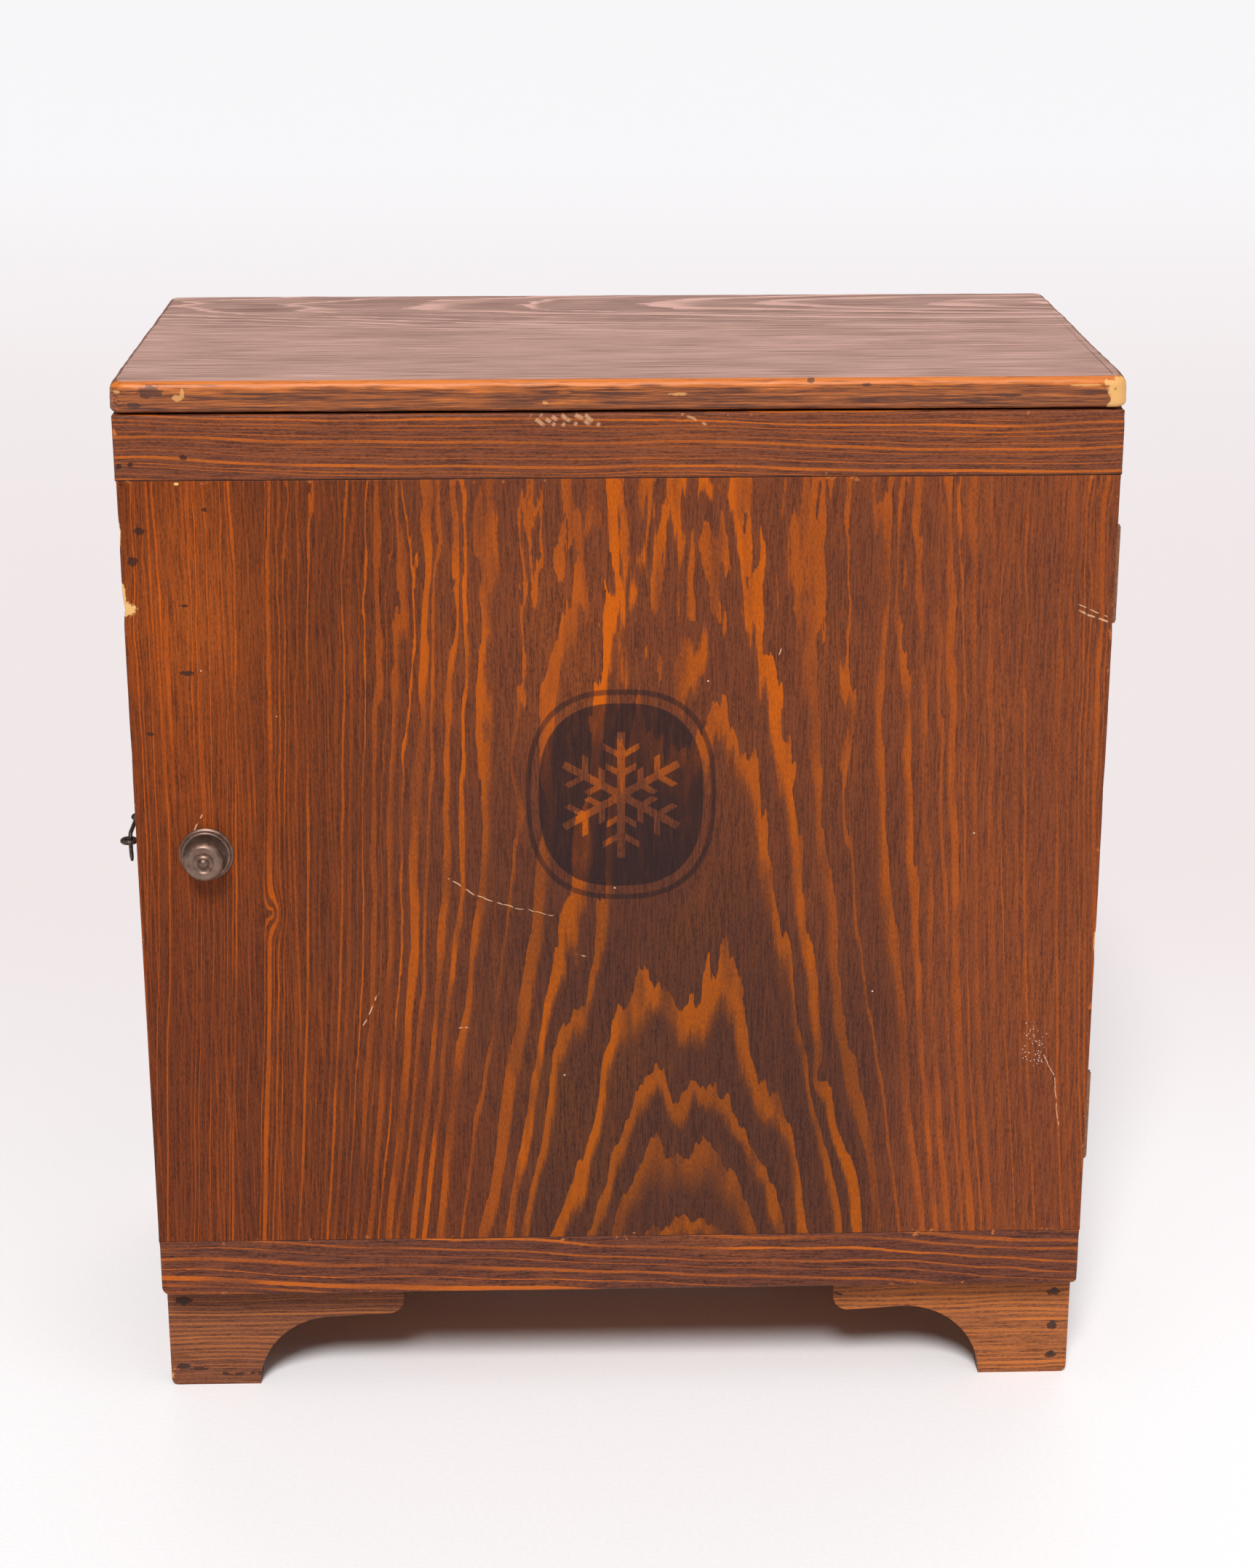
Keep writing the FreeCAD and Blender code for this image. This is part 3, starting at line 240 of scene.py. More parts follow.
def grain(graph, axes, pith, slope, ring_mm, crowd, seed, tilt=0.0, bend_mm=None, jag_mm=2.2, wave_mm=5.0,
          knots=(), valleys=(), flare=None, bold_lines=1.0, calm=None):
    """Growth rings round a slightly tilted pith.

    Returns the late wood (bright, sharp outwards and soft inwards), and a fine fibre noise.
    pith is (across, depth) at along = 0, and it levels out over bend_mm. crowd makes the rings
    closer away from the pith. A valley is (across, width, height) and splits the arches in two.
    flare is (start, end, gain) along the board: the flames grow by that gain from start to end.
    bold_lines is how wide the late wood is compared with a bold softwood. calm is (start, end, share,
    share): how much of the waves is left at two distances from the pith.
    """
    across, along, depth = axes
    away = graph.add(across, graph.maths("MULTIPLY_ADD", along, tilt, -pith[0]))
    run = along
    if bend_mm is not None:
        fade = graph.maths("EXPONENT", graph.times(along, -1 / bend_mm))
        run = graph.maths("MULTIPLY_ADD", fade, -bend_mm, bend_mm)
    below = graph.add(depth, graph.maths("MULTIPLY_ADD", run, slope, -pith[1]))
    wave = graph.times(board_noise(graph, axes, 70, 260, seed), wave_mm * 4)
    sway = graph.times(board_noise(graph, axes, 26, 110, seed + 7, detail=1.0), wave_mm * 1.6)
    if calm is not None:
        left = graph.ramp(graph.maths("ABSOLUTE", away), *calm)
        wave, sway = graph.times(wave, left), graph.times(sway, left)
    away = graph.add(away, wave)
    radius = graph.maths("SQRT", graph.add(graph.times(away, away), graph.times(below, below)))
    facing = graph.maths("DIVIDE", graph.maths("ABSOLUTE", below), radius)
    teeth = board_noise(graph, axes, 5.5, 42, seed + 3, detail=3.0, roughness=0.62)
    flames = board_noise(graph, axes, 13, 80, seed + 5)
    reach = graph.ramp(facing, 0.15, 0.95, jag_mm * 0.35, jag_mm * 2.6)
    if flare is not None:
        gain = graph.ramp(along, flare[0], flare[1], 1.0, flare[2])
        flames = graph.times(flames, gain)
        teeth = graph.times(teeth, graph.maths("MULTIPLY_ADD", gain, 0.4, 0.6))
    radius = graph.add(radius, graph.times(teeth, reach), graph.times(flames, reach, 1.7), sway)
    for at_across, at_along, size in knots:
        side = graph.times(graph.minus(across, at_across), 1 / size)
        rise = graph.times(graph.minus(along, at_along), 1 / (size * 2.2))
        radius = graph.add(radius, graph.times(bell(graph, side, rise), size * 1.1))
    for at_across, width, height in valleys:
        side = graph.times(graph.minus(across, at_across), 1 / width)
        radius = graph.add(radius, graph.times(bell(graph, side), height))
    outer = graph.maths("MAXIMUM", graph.minus(radius, crowd[0]), 0.0)
    rings = graph.add(graph.times(radius, 1 / ring_mm), graph.times(outer, outer, crowd[1]))
    rings = graph.add(rings, graph.line_noise(rings, 0.7))
    number = graph.maths("FLOOR", rings)
    inward = graph.minus(1.0, graph.minus(rings, number))
    fibre = board_noise(graph, axes, 0.9, 16, seed, roughness=0.6)
    share = graph.ramp(graph.chance(graph.add(number, seed)), 0.0, 1.0, 0.16 * bold_lines, 0.62 * bold_lines,
                       smooth=False)
    soft = graph.add(inward, graph.times(fibre, 0.35))
    sharp = graph.ramp(facing, 0.2, 0.9, 0.8, 0.4)
    if flare is not None:
        sharp = graph.maths("MAXIMUM", sharp, graph.ramp(along, flare[0], flare[1], 0.4, 0.75))
    late = graph.minus(1.0, graph.ramp(graph.maths("DIVIDE", soft, share), sharp, 1.0))
    bold = graph.ramp(graph.chance(graph.add(number, seed + 40)), 0.1, 0.9, 0.0, 1.0)
    # Close rings are fainter, with a bold one among them now and then.
    crowded = graph.ramp(radius, crowd[0] + 20, crowd[0] + 110)
    faint = graph.maths("MULTIPLY_ADD", graph.times(bold, bold, bold), 0.68, 0.14)
    clear = graph.maths("MULTIPLY_ADD", bold, 0.4, 0.6)
    strength = graph.add(graph.times(faint, crowded), graph.times(clear, graph.minus(1.0, crowded)))
    patchy = board_noise(graph, axes, 14, 90, seed + 11)
    late = graph.times(late, strength, graph.ramp(patchy, -0.22, 0.06, 0.3, 1.0))
    # Long fine lines between the rings, most where the rings are close.
    fine = board_noise(graph, (graph.add(across, sway), along, depth), 1.5, 240, seed + 17)
    fine = graph.times(graph.ramp(fine, 0.0, 0.16), graph.ramp(patchy, 0.12, -0.12),
                       graph.maths("MULTIPLY_ADD", crowded, 0.34, 0.1))
    return graph.maths("MAXIMUM", late, fine), fibre


def edge_distance(graph, low, high):
    """Distance along the surface of a block to its nearest edge, in mm."""
    sides = []
    for value, start, end in zip(graph.split(graph.place), low, high):
        from_low = graph.minus(value, start / MM)
        from_high = graph.minus(end / MM, value)
        sides.append(graph.maths("MINIMUM", from_low, from_high))
    a, b, c = sides
    inner = graph.maths("MINIMUM", graph.maths("MAXIMUM", a, b), c)
    return graph.maths("MAXIMUM", graph.maths("MINIMUM", a, b), inner)


def spot(graph, axes_pair, centre, size, ragged=0.25, scale_mm=2.0):
    """1 inside a ragged oval mark on a face, 0 outside."""
    u, v = axes_pair
    du = graph.times(graph.minus(u, centre[0]), 1 / size[0])
    dv = graph.times(graph.minus(v, centre[1]), 1 / size[1])
    away = graph.maths("SQRT", graph.add(graph.times(du, du), graph.times(dv, dv)))
    rough = graph.noise(graph.steps(scale_mm), detail=3.0)
    away = graph.add(away, graph.times(rough, ragged * 4))
    return graph.minus(1.0, graph.ramp(away, 0.85, 1.1))


def scratch(graph, axes_pair, start, end, width_mm, seed=0.0):
    """1 on a thin broken line from start to end on a face, 0 elsewhere."""
    u, v = axes_pair
    across, up = end[0] - start[0], end[1] - start[1]
    length = math.hypot(across, up)
    du, dv = graph.minus(u, start[0]), graph.minus(v, start[1])
    along = graph.add(graph.times(du, across / length), graph.times(dv, up / length))
    aside = graph.minus(graph.times(dv, across / length), graph.times(du, up / length))
    bend = graph.times(graph.line_noise(graph.add(graph.times(along, 1 / 14), seed), detail=2.0), 3.0)
    line = graph.minus(1.0, graph.ramp(graph.maths("ABSOLUTE", graph.add(aside, bend)),
                                       width_mm * 0.3, width_mm * 0.6))
    inside = graph.times(graph.ramp(along, 0.0, 1.5), graph.ramp(along, length - 1.5, length, 1.0, 0.0))
    broken = graph.ramp(graph.line_noise(graph.add(graph.times(along, 1 / 5), seed + 9)), -0.16, 0.05)
    return graph.times(line, inside, broken)


def join_marks(graph, marks):
    total = marks[0]
    for mark in marks[1:]:
        total = graph.maths("MAXIMUM", total, mark)
    return total


def stained_wood(name, box, along, flat, ring_shape, tones, seed, wear=0.5, gloss=0.4, extra=None,
                 constants=None, zones=None):
    """Solid wood with its grain along one axis and its broad faces across another.

    zones(graph, axes) returns a tint of the ground and a strength of the grain for each place.
    extra(graph, axes, late, colour, roughness, height) returns the last three with marks added.
    """
    graph = Graph(name)
    axes = board_axes(graph, along, flat)
    across, run, depth = axes
    late, fibre = grain(graph, axes, seed=seed, **ring_shape)
    broad = graph.noise(graph.join(graph.times(across, 1 / 60), graph.times(run, 1 / 150), depth), detail=3.0)
    fleck = graph.noise(graph.join(graph.times(across, 1 / 0.9), graph.times(run, 1 / 3.2), depth),
                        detail=3.0, roughness=0.75)
    ground = graph.mix(graph.ramp(broad, -0.05, 0.25, 0.0, 0.8), tones["mid"], tones["warm"])
    ground = graph.mix(graph.ramp(graph.add(fibre, fleck), -0.26, 0.16), tones["dark"], ground)
    bright = graph.mix(graph.ramp(graph.add(fleck, graph.times(broad, 0.8)), -0.3, 0.2),
                       tones["late_low"], tones["late_high"])
    if zones is None:
        colour = graph.mix(late, ground, bright)
    else:
        tint, strength = zones(graph, axes)
        late = graph.times(late, strength)
        colour = graph.mix(late, ground, bright)
        colour = graph.mix(graph.maths("MULTIPLY_ADD", late, -0.55, 1.0), colour, tint, "MULTIPLY")

    # The ends of the grain drink more stain.
    turned = graph.split(graph.normal)["xyz".index(along)]
    end = graph.ramp(graph.maths("ABSOLUTE", turned), 0.6, 0.9)
    colour = graph.mix(graph.times(end, 0.55), colour, GRIME)

    edge = edge_distance(graph, *box)
    chips = graph.noise(graph.steps(9), detail=4.0, roughness=0.65)
    rubbed = graph.minus(1.0, graph.ramp(graph.add(edge, graph.times(chips, -9.0)), 0.2, 1.6))
    rubbed = graph.times(rubbed, graph.ramp(chips, 0.26 - 0.26 * wear, 0.34 - 0.26 * wear))
    colour = graph.mix(graph.times(rubbed, 0.75), colour, tones["rubbed"])

    roughness = graph.add(graph.times(graph.add(fleck, fibre), 0.10), gloss, graph.times(rubbed, 0.2))
    height = graph.add(graph.times(late, 0.6), graph.times(fibre, 0.5), graph.times(fleck, 0.3))
    if extra is not None:
        colour, roughness, height = extra(graph, axes, late, colour, roughness, height)
    settings = {"Specular IOR Level": 0.1}
    settings.update(constants or {})
    return graph.finish(colour, roughness, height, 0.12, settings)


def door_zones(graph, axes):
    """Tint of the ground and strength of the grain over the door's panel.

    It is reddish to the left with a painted sheen high up there (a bright warm patch that stands in
    for the shine of the varnish), dim beside that, purple brown low down, and plainer to the right.
    """
    across, up = axes[:2]
    drift = graph.noise(graph.join(graph.times(across, 1 / 120), graph.times(up, 1 / 300), 1.0), detail=2.0)
    place = graph.add(across, graph.times(drift, 160.0))
    right = graph.ramp(place, 100, 200)
    low = graph.times(graph.ramp(graph.maths("ABSOLUTE", graph.add(place, -20)), 60, 190, 1.0, 0.0),
                      graph.ramp(up, 250, 560, 1.0, 0.0))
    left = graph.mix(graph.ramp(up, 180, 480), (0.72, 0.62, 0.56, 1), (0.92, 0.74, 0.42, 1))
    tint = graph.mix(graph.ramp(place, -220, -100), left, (0.92, 0.9, 0.88, 1))
    tint = graph.mix(right, tint, (1.06, 1.02, 0.98, 1))
    tint = graph.mix(low, tint, (0.48, 0.6, 0.9, 1))
    beside = graph.times(graph.add(place, 180), 1 / 60)
    dim = bell(graph, beside)
    tint = graph.mix(graph.times(dim, 0.55), tint, (0.62, 0.6, 0.56, 1))
    # Painted sheen: a bright warm patch high on the left stands in for the shine of the varnish.
    side = graph.times(graph.add(across, 258), 1 / 34)
    rise = graph.times(graph.add(up, -548), 1 / 62)
    painted_varnish_sheen = bell(graph, side, rise)
    tint = graph.mix(painted_varnish_sheen, tint, (1.45, 1.2, 0.5, 1))
    return tint, graph.maths("MULTIPLY_ADD", right, -0.45, 1.0)


DOOR_TONES = {
    "dark": srgb(82, 43, 29),
    "mid": srgb(118, 62, 36),
    "warm": srgb(136, 70, 32),
    "late_low": srgb(146, 70, 16),
    "late_high": srgb(196, 92, 4),
    "rubbed": srgb(182, 104, 50),
}
RAIL_TONES = {
    "dark": srgb(78, 44, 34),
    "mid": srgb(120, 67, 45),
    "warm": srgb(138, 76, 43),
    "late_low": srgb(154, 82, 32),
    "late_high": srgb(196, 98, 28),
    "rubbed": srgb(190, 112, 58),
}
LEFT_FOOT_TONES = {
    "dark": srgb(82, 49, 37),
    "mid": srgb(122, 74, 53),
    "warm": srgb(134, 80, 52),
    "late_low": srgb(140, 84, 50),
    "late_high": srgb(174, 102, 56),
    "rubbed": srgb(206, 140, 88),
}
FOOT_TONES = {
    "dark": srgb(98, 58, 38),
    "mid": srgb(154, 92, 57),
    "warm": srgb(166, 98, 54),
    "late_low": srgb(162, 94, 52),
    "late_high": srgb(194, 112, 54),
    "rubbed": srgb(206, 140, 88),
}
SIDE_TONES = {
    "dark": srgb(86, 45, 30),
    "mid": srgb(124, 66, 40),
    "warm": srgb(136, 72, 40),
    "late_low": srgb(150, 76, 40),
    "late_high": srgb(188, 92, 34),
    "rubbed": srgb(182, 104, 50),
}
TOP_TONES = {
    "dark": srgb(84, 47, 32),
    "mid": srgb(122, 70, 46),
    "warm": srgb(132, 75, 46),
    "late_low": srgb(156, 88, 50),
    "late_high": srgb(190, 106, 54),
    "rubbed": srgb(206, 112, 44),
}
INNER_TONES = {
    "dark": srgb(150, 108, 68),
    "mid": srgb(184, 140, 94),
    "warm": srgb(192, 146, 96),
    "late_low": srgb(168, 112, 62),
    "late_high": srgb(186, 126, 70),
    "rubbed": srgb(204, 164, 116),
}


# ---------------------------------------------------------------- board shapes

def rounded_rectangle(low, high, radius, step=0.004):
    """Closed outline of (u, v) points, anticlockwise; radius is one number or one for each corner."""
    radii = radius if isinstance(radius, (list, tuple)) else [radius] * 4
    ends = [(low[0], low[1]), (high[0], low[1]), (high[0], high[1]), (low[0], high[1])]
    points = []
    for index, (corner, size) in enumerate(zip(ends, radii)):
        inward = (1 if index in (0, 3) else -1, 1 if index in (0, 1) else -1)
        centre = (corner[0] + inward[0] * size, corner[1] + inward[1] * size)
        first = math.radians(180 + 90 * index)
        turns = 8
        arc = [(centre[0] + size * math.cos(first + math.radians(90) * turn / turns),
                centre[1] + size * math.sin(first + math.radians(90) * turn / turns))
               for turn in range(turns + 1)]
        if points:
            points += straight(points.pop(), arc[0], step)
        points += arc
    return points[:-1] + straight(points[-1], points[0], step)


def straight(start, end, step):
    """Points on a straight run, with its start and without its end."""
    length = math.hypot(end[0] - start[0], end[1] - start[1])
    count = max(1, round(length / step))
    return [(start[0] + (end[0] - start[0]) * index / count, start[1] + (end[1] - start[1]) * index / count)
            for index in range(count)]


def inward_normals(outline):
    """Unit vectors to the left of an anticlockwise outline, one at each point."""
    normals = []
    for index in range(len(outline)):
        before, after = outline[index - 1], outline[(index + 1) % len(outline)]
        run = Vector((after[0] - before[0], after[1] - before[1]))
        normals.append(Vector((-run.y, run.x)).normalized())
    return normals


def board(name, outline, low, high, lay, low_radius, high_radius, seed, dents=(), uneven=0.00012):
    """Plate of an outline between two levels, with rounded and slightly worn edges.

    The outline's sides are straight or bulge outwards, so a point moved in stays in the block
    round it. lay turns (u, v, level) into a point. A radius is a number or a function of (u, v).
    A dent is (u, v, reach, depth) and pulls the outline in at the high level's edge.
    """
    steps = 6
    normals = inward_normals(outline)
    ends = [(min(point[axis] for point in outline), max(point[axis] for point in outline)) for axis in (0, 1)]
    radius_of = [value if callable(value) else (lambda u, v, value=value: value)
                 for value in (low_radius, high_radius)]
    mesh = bmesh.new()
    loops = []
    profile = [("low", 0.0, 1.0)]
    profile += [("low", math.radians(90) * step / steps, 0.0) for step in range(steps + 1)]
    profile += [("middle", share, 0.0) for share in (0.33, 0.67)]
    profile += [("high", math.radians(90) * step / steps, 0.0) for step in reversed(range(steps + 1))]
    profile += [("high", 0.0, 1.0)]
    for part, angle, flat in profile:
        loop = []
        for (u, v), normal in zip(outline, normals):
            at = Vector((u, v, seed))
            rough = noise.noise(at * 90) * 0.5 + noise.noise(at * 31) * 0.5
            drift = uneven * (0.5 + 0.5 * noise.noise(Vector((u, v, seed + 5)) * 14))
            sizes = [radius(u, v) * (1 + 0.35 * rough) for radius in radius_of]
            if part == "middle":
                level = low + sizes[0] + (high - low - sizes[0] - sizes[1]) * angle
                inset, near_high = 0.0, angle
            else:
                size = sizes[0] if part == "low" else sizes[1]
                inset = size * (1 - math.sin(angle)) + flat * 0.002
                rise = size * (1 - math.cos(angle))
                level = low + rise if part == "low" else high - rise
                near_high = 0.0 if part == "low" else 1.0
            for dent_u, dent_v, reach, depth in dents:
                away = math.hypot(u - dent_u, v - dent_v) / reach
                bite = 0.7 + 0.6 * noise.noise(Vector((u, v, level)) * 700)
                inset += depth * math.exp(-away * away) * near_high * bite
            inset += drift
            moved = [min(max(start, first + inset), last - inset)
                     for start, (first, last) in zip((u + normal.x * inset, v + normal.y * inset), ends)]
            loop.append(mesh.verts.new(lay(*moved, level)))
        loops.append(loop)
    for lower, upper in zip(loops, loops[1:]):
        for index in range(len(outline)):
            other = (index + 1) % len(outline)
            mesh.faces.new((lower[index], lower[other], upper[other], upper[index]))
    caps = [mesh.faces.new(loops[0]), mesh.faces.new(loops[-1])]
    bmesh.ops.remove_doubles(mesh, verts=mesh.verts, dist=2e-6)
    bmesh.ops.triangulate(mesh, faces=[face for face in caps if face.is_valid])
    bmesh.ops.recalc_face_normals(mesh, faces=mesh.faces)
    return piece(name, mesh)


def piece(name, mesh):
    """Object of a finished bmesh, smooth shaded."""
    data = bpy.data.meshes.new(name)
    mesh.to_mesh(data)
    mesh.free()
    data.polygons.foreach_set("use_smooth", [True] * len(data.polygons))
    made = bpy.data.objects.new(name, data)
    bpy.context.scene.collection.objects.link(made)
    return made


def stand_in(made, node, body, material):
    """Put a finished piece in the place of a CAD node."""
    made.data.materials.append(material)
    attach(made, body)
    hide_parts(node)
    return made


def upright(u, v, level):
    """Board that stands across the front: u is X, v is Z and the high level faces the front."""
    return (u, -level, v)


def lying(u, v, level):
    return (u, v, level)


# ---------------------------------------------------------------- marks on the door

# Marks are placed in mm on the front: (X, Z), then half the width and half the height, or a line's ends.
HOLE_DEPTH = 3.0  # of a nail hole, compared with the bump of the grain

def emblem(graph, across, up):
    """Generic worn transfer: a dark oval with a double line and a six-armed frost star left open in it.

    Returns how dark the transfer is at each point.
    """
    centre_up, half_wide, half_tall = 425.0, 60.0, 70.0
    u = across
    v = graph.minus(up, centre_up)
    power = 2.6
    wide = graph.maths("POWER", graph.maths("ABSOLUTE", graph.times(u, 1 / half_wide)), power)
    tall = graph.maths("POWER", graph.maths("ABSOLUTE", graph.times(v, 1 / half_tall)), power)
    out = graph.maths("POWER", graph.add(wide, tall), 1 / power)
    field = graph.minus(1.0, graph.ramp(out, 0.855, 0.87))
    line = graph.times(graph.ramp(out, 0.935, 0.95), graph.ramp(out, 0.985, 1.0, 1.0, 0.0))

    radius = graph.maths("SQRT", graph.add(graph.times(u, u), graph.times(v, v)))
    angle = graph.maths("ARCTAN2", u, v)
    sector = math.radians(60)
    folded = graph.minus(angle, graph.times(graph.maths("ROUND", graph.times(angle, 1 / sector)), sector))
    along = graph.times(radius, graph.maths("COSINE", folded))
    aside = graph.maths("ABSOLUTE", graph.times(radius, graph.maths("SINE", folded)))
    arm_half_wide, arm_long, branch_half_wide = 2.2, 41.0, 1.9
    branches = ((14.0, 9.0), (26.0, 11.0))
    soft = 0.5
    star = graph.times(graph.ramp(aside, arm_half_wide, arm_half_wide + soft, 1.0, 0.0),
                       graph.ramp(along, arm_long, arm_long + 1.0, 1.0, 0.0))
    for start, reach in branches:
        # A branch leaves the arm at 60 degrees.
        lean = graph.minus(graph.minus(along, start), graph.times(aside, math.tan(math.radians(30))))
        branch = graph.times(graph.ramp(graph.maths("ABSOLUTE", lean), branch_half_wide,
                                        branch_half_wide + soft, 1.0, 0.0),
                             graph.ramp(aside, reach, reach + 0.8, 1.0, 0.0))
        star = graph.maths("MAXIMUM", star, branch)
    hub = graph.ramp(radius, 5.5, 6.2, 1.0, 0.0)
    star = graph.maths("MAXIMUM", star, hub)
    ink = graph.maths("MAXIMUM", graph.times(field, graph.minus(1.0, star)), graph.times(line, 0.8))
    worn = graph.noise(graph.join(graph.times(across, 1 / 5), graph.times(up, 1 / 26), 3.0), detail=4.0,
                       roughness=0.6)
    return graph.times(ink, graph.ramp(worn, -0.35, 0.05, 0.62, 0.96))


def door_marks(graph, axes, late, colour, roughness, height):
    """The transfer in the middle, nail holes, bare chips and scratches of the door's panel."""
    across, up, depth = axes
    front_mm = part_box("door_panel")[0][1] / MM
    front = graph.ramp(graph.split(graph.normal)[1], -0.9, -0.6, 1.0, 0.0)
    face = (across, up)

    ink = graph.times(emblem(graph, across, up), front)
    colour = graph.mix(ink, colour, graph.mix(0.82, colour, srgb(30, 25, 28)))

    holes = [spot(graph, face, place, size, ragged=0.45, scale_mm=1.4) for place, size in (
        ((-292, 597), (2.8, 2.2)), ((-297, 578), (2.8, 2.6)), ((-267, 550), (2.4, 0.8)),
        ((-267, 507), (4.2, 1.5)), ((-291.5, 468), (1.8, 1.4)), ((-252, 610), (1.6, 1.2)))]
    holes = graph.times(join_marks(graph, holes), front)
    colour = graph.mix(graph.times(holes, 0.85), colour, srgb(52, 34, 30))
    height = graph.minus(height, graph.times(holes, HOLE_DEPTH))

    chips = [spot(graph, face, place, size, ragged=0.3) for place, size in (
        ((-304, 548), (7.5, 4.6)), ((-305, 556), (3.0, 10.0)), ((-305, 596), (2.0, 9.0)),
        ((-268, 626), (1.4, 1.0)), ((304.3, 322), (1.4, 9.0)))]
    ragged = graph.noise(graph.steps(5), detail=3.0)
    shallow = graph.ramp(graph.add(depth, graph.times(ragged, 9.0)), front_mm + 2.0, front_mm + 3.5, 1.0, 0.0)
    chips = graph.times(join_marks(graph, chips), shallow)
    colour = graph.mix(graph.times(chips, 0.9), colour, PALE_WOOD)

    lines = [scratch(graph, face, *ends, width, seed) for ends, width, seed in (
        (((282, 543), (306, 533)), 1.2, 1.0), (((281, 547), (301, 538)), 0.7, 2.0),
        (((274, 245), (282, 229)), 0.6, 9.0), (((282, 229), (286, 193)), 0.6, 10.0),
        (((-110, 371), (-92, 359)), 0.8, 3.0), (((-92, 359), (-68, 350)), 0.7, 11.0),
        (((-68, 350), (-40, 345)), 0.5, 12.0), (((-166, 270), (-155, 293)), 0.8, 4.0),
        (((96, 512), (100, 520)), 0.8, 5.0), (((-268, 404), (-262, 416)), 0.9, 6.0),
        (((-30, 318), (-22, 317)), 0.7, 7.0), (((-105, 268), (-98, 268)), 0.8, 8.0))]
    lines = graph.times(join_marks(graph, lines), front)
    colour = graph.mix(graph.times(lines, 0.75), colour, srgb(222, 176, 138))

    # A scuff with white specks low on the right, and loose specks all over.
    near = spot(graph, face, (267, 251), (9, 14), ragged=0.5, scale_mm=6.0)
    dust = graph.cells(graph.steps(1.7))
    dust = graph.times(graph.minus(1.0, graph.ramp(dust, 0.16, 0.26)), near)
    sparse = graph.cells(graph.steps(34))
    sparse = graph.minus(1.0, graph.ramp(sparse, 0.012, 0.02))
    specks = graph.times(graph.maths("MAXIMUM", dust, sparse), front)
    colour = graph.mix(graph.times(specks, 0.8), colour, srgb(226, 206, 196))
    roughness = graph.add(roughness, graph.times(graph.maths("MAXIMUM", ink, holes), 0.05))
    return colour, roughness, height


def rail_marks(graph, axes, late, colour, roughness, height):
    """Nail holes and pale scuffs on the door's top rail."""
    up, across = axes[:2]
    face = (across, up)
    holes = join_marks(graph, [spot(graph, face, place, size) for place, size in (
        ((-302, 637), (1.8, 1.6)), ((-295, 638), (1.6, 1.4)), ((-263, 642), (2.2, 1.4)))])
    colour = graph.mix(graph.times(holes, 0.85), colour, srgb(50, 34, 34))
    scuffs = join_marks(graph, [
        scratch(graph, face, (start, 667), (start + 10, 660), width_mm=2.6, seed=start)
        for start in (-55, -49, -43, -36, -28, -22)])
    scuffs = graph.maths("MAXIMUM", scuffs,
                         scratch(graph, face, (36, 667), (52, 660), width_mm=1.6, seed=3.0))
    colour = graph.mix(graph.times(scuffs, 0.65), colour, srgb(206, 156, 118))
    joint = graph.ramp(up, 628.2, 629.4, 1.0, 0.0)
    colour = graph.mix(graph.times(joint, 0.6), colour, GRIME)
    height = graph.minus(height, graph.times(holes, HOLE_DEPTH))
    return colour, roughness, height


def foot_marks(nails, fissure):
    """Dark stains round the nails of a front foot, and a dark crack along its grain."""
    def marks(graph, axes, late, colour, roughness, height):
        up, across = axes[:2]
        face = (across, up)
        front = graph.ramp(graph.split(graph.normal)[1], -0.9, -0.6, 1.0, 0.0)
        stains = join_marks(graph, [spot(graph, face, place, size, ragged=0.35)
                                    for place, size in nails])
        crack = scratch(graph, face, *fissure, width_mm=2.2, seed=4.0)
        dark = graph.times(graph.maths("MAXIMUM", stains, crack), front)
        colour = graph.mix(graph.times(dark, 0.8), colour, srgb(54, 36, 32))
        return colour, roughness, height
    return marks


# ---------------------------------------------------------------- outer boards

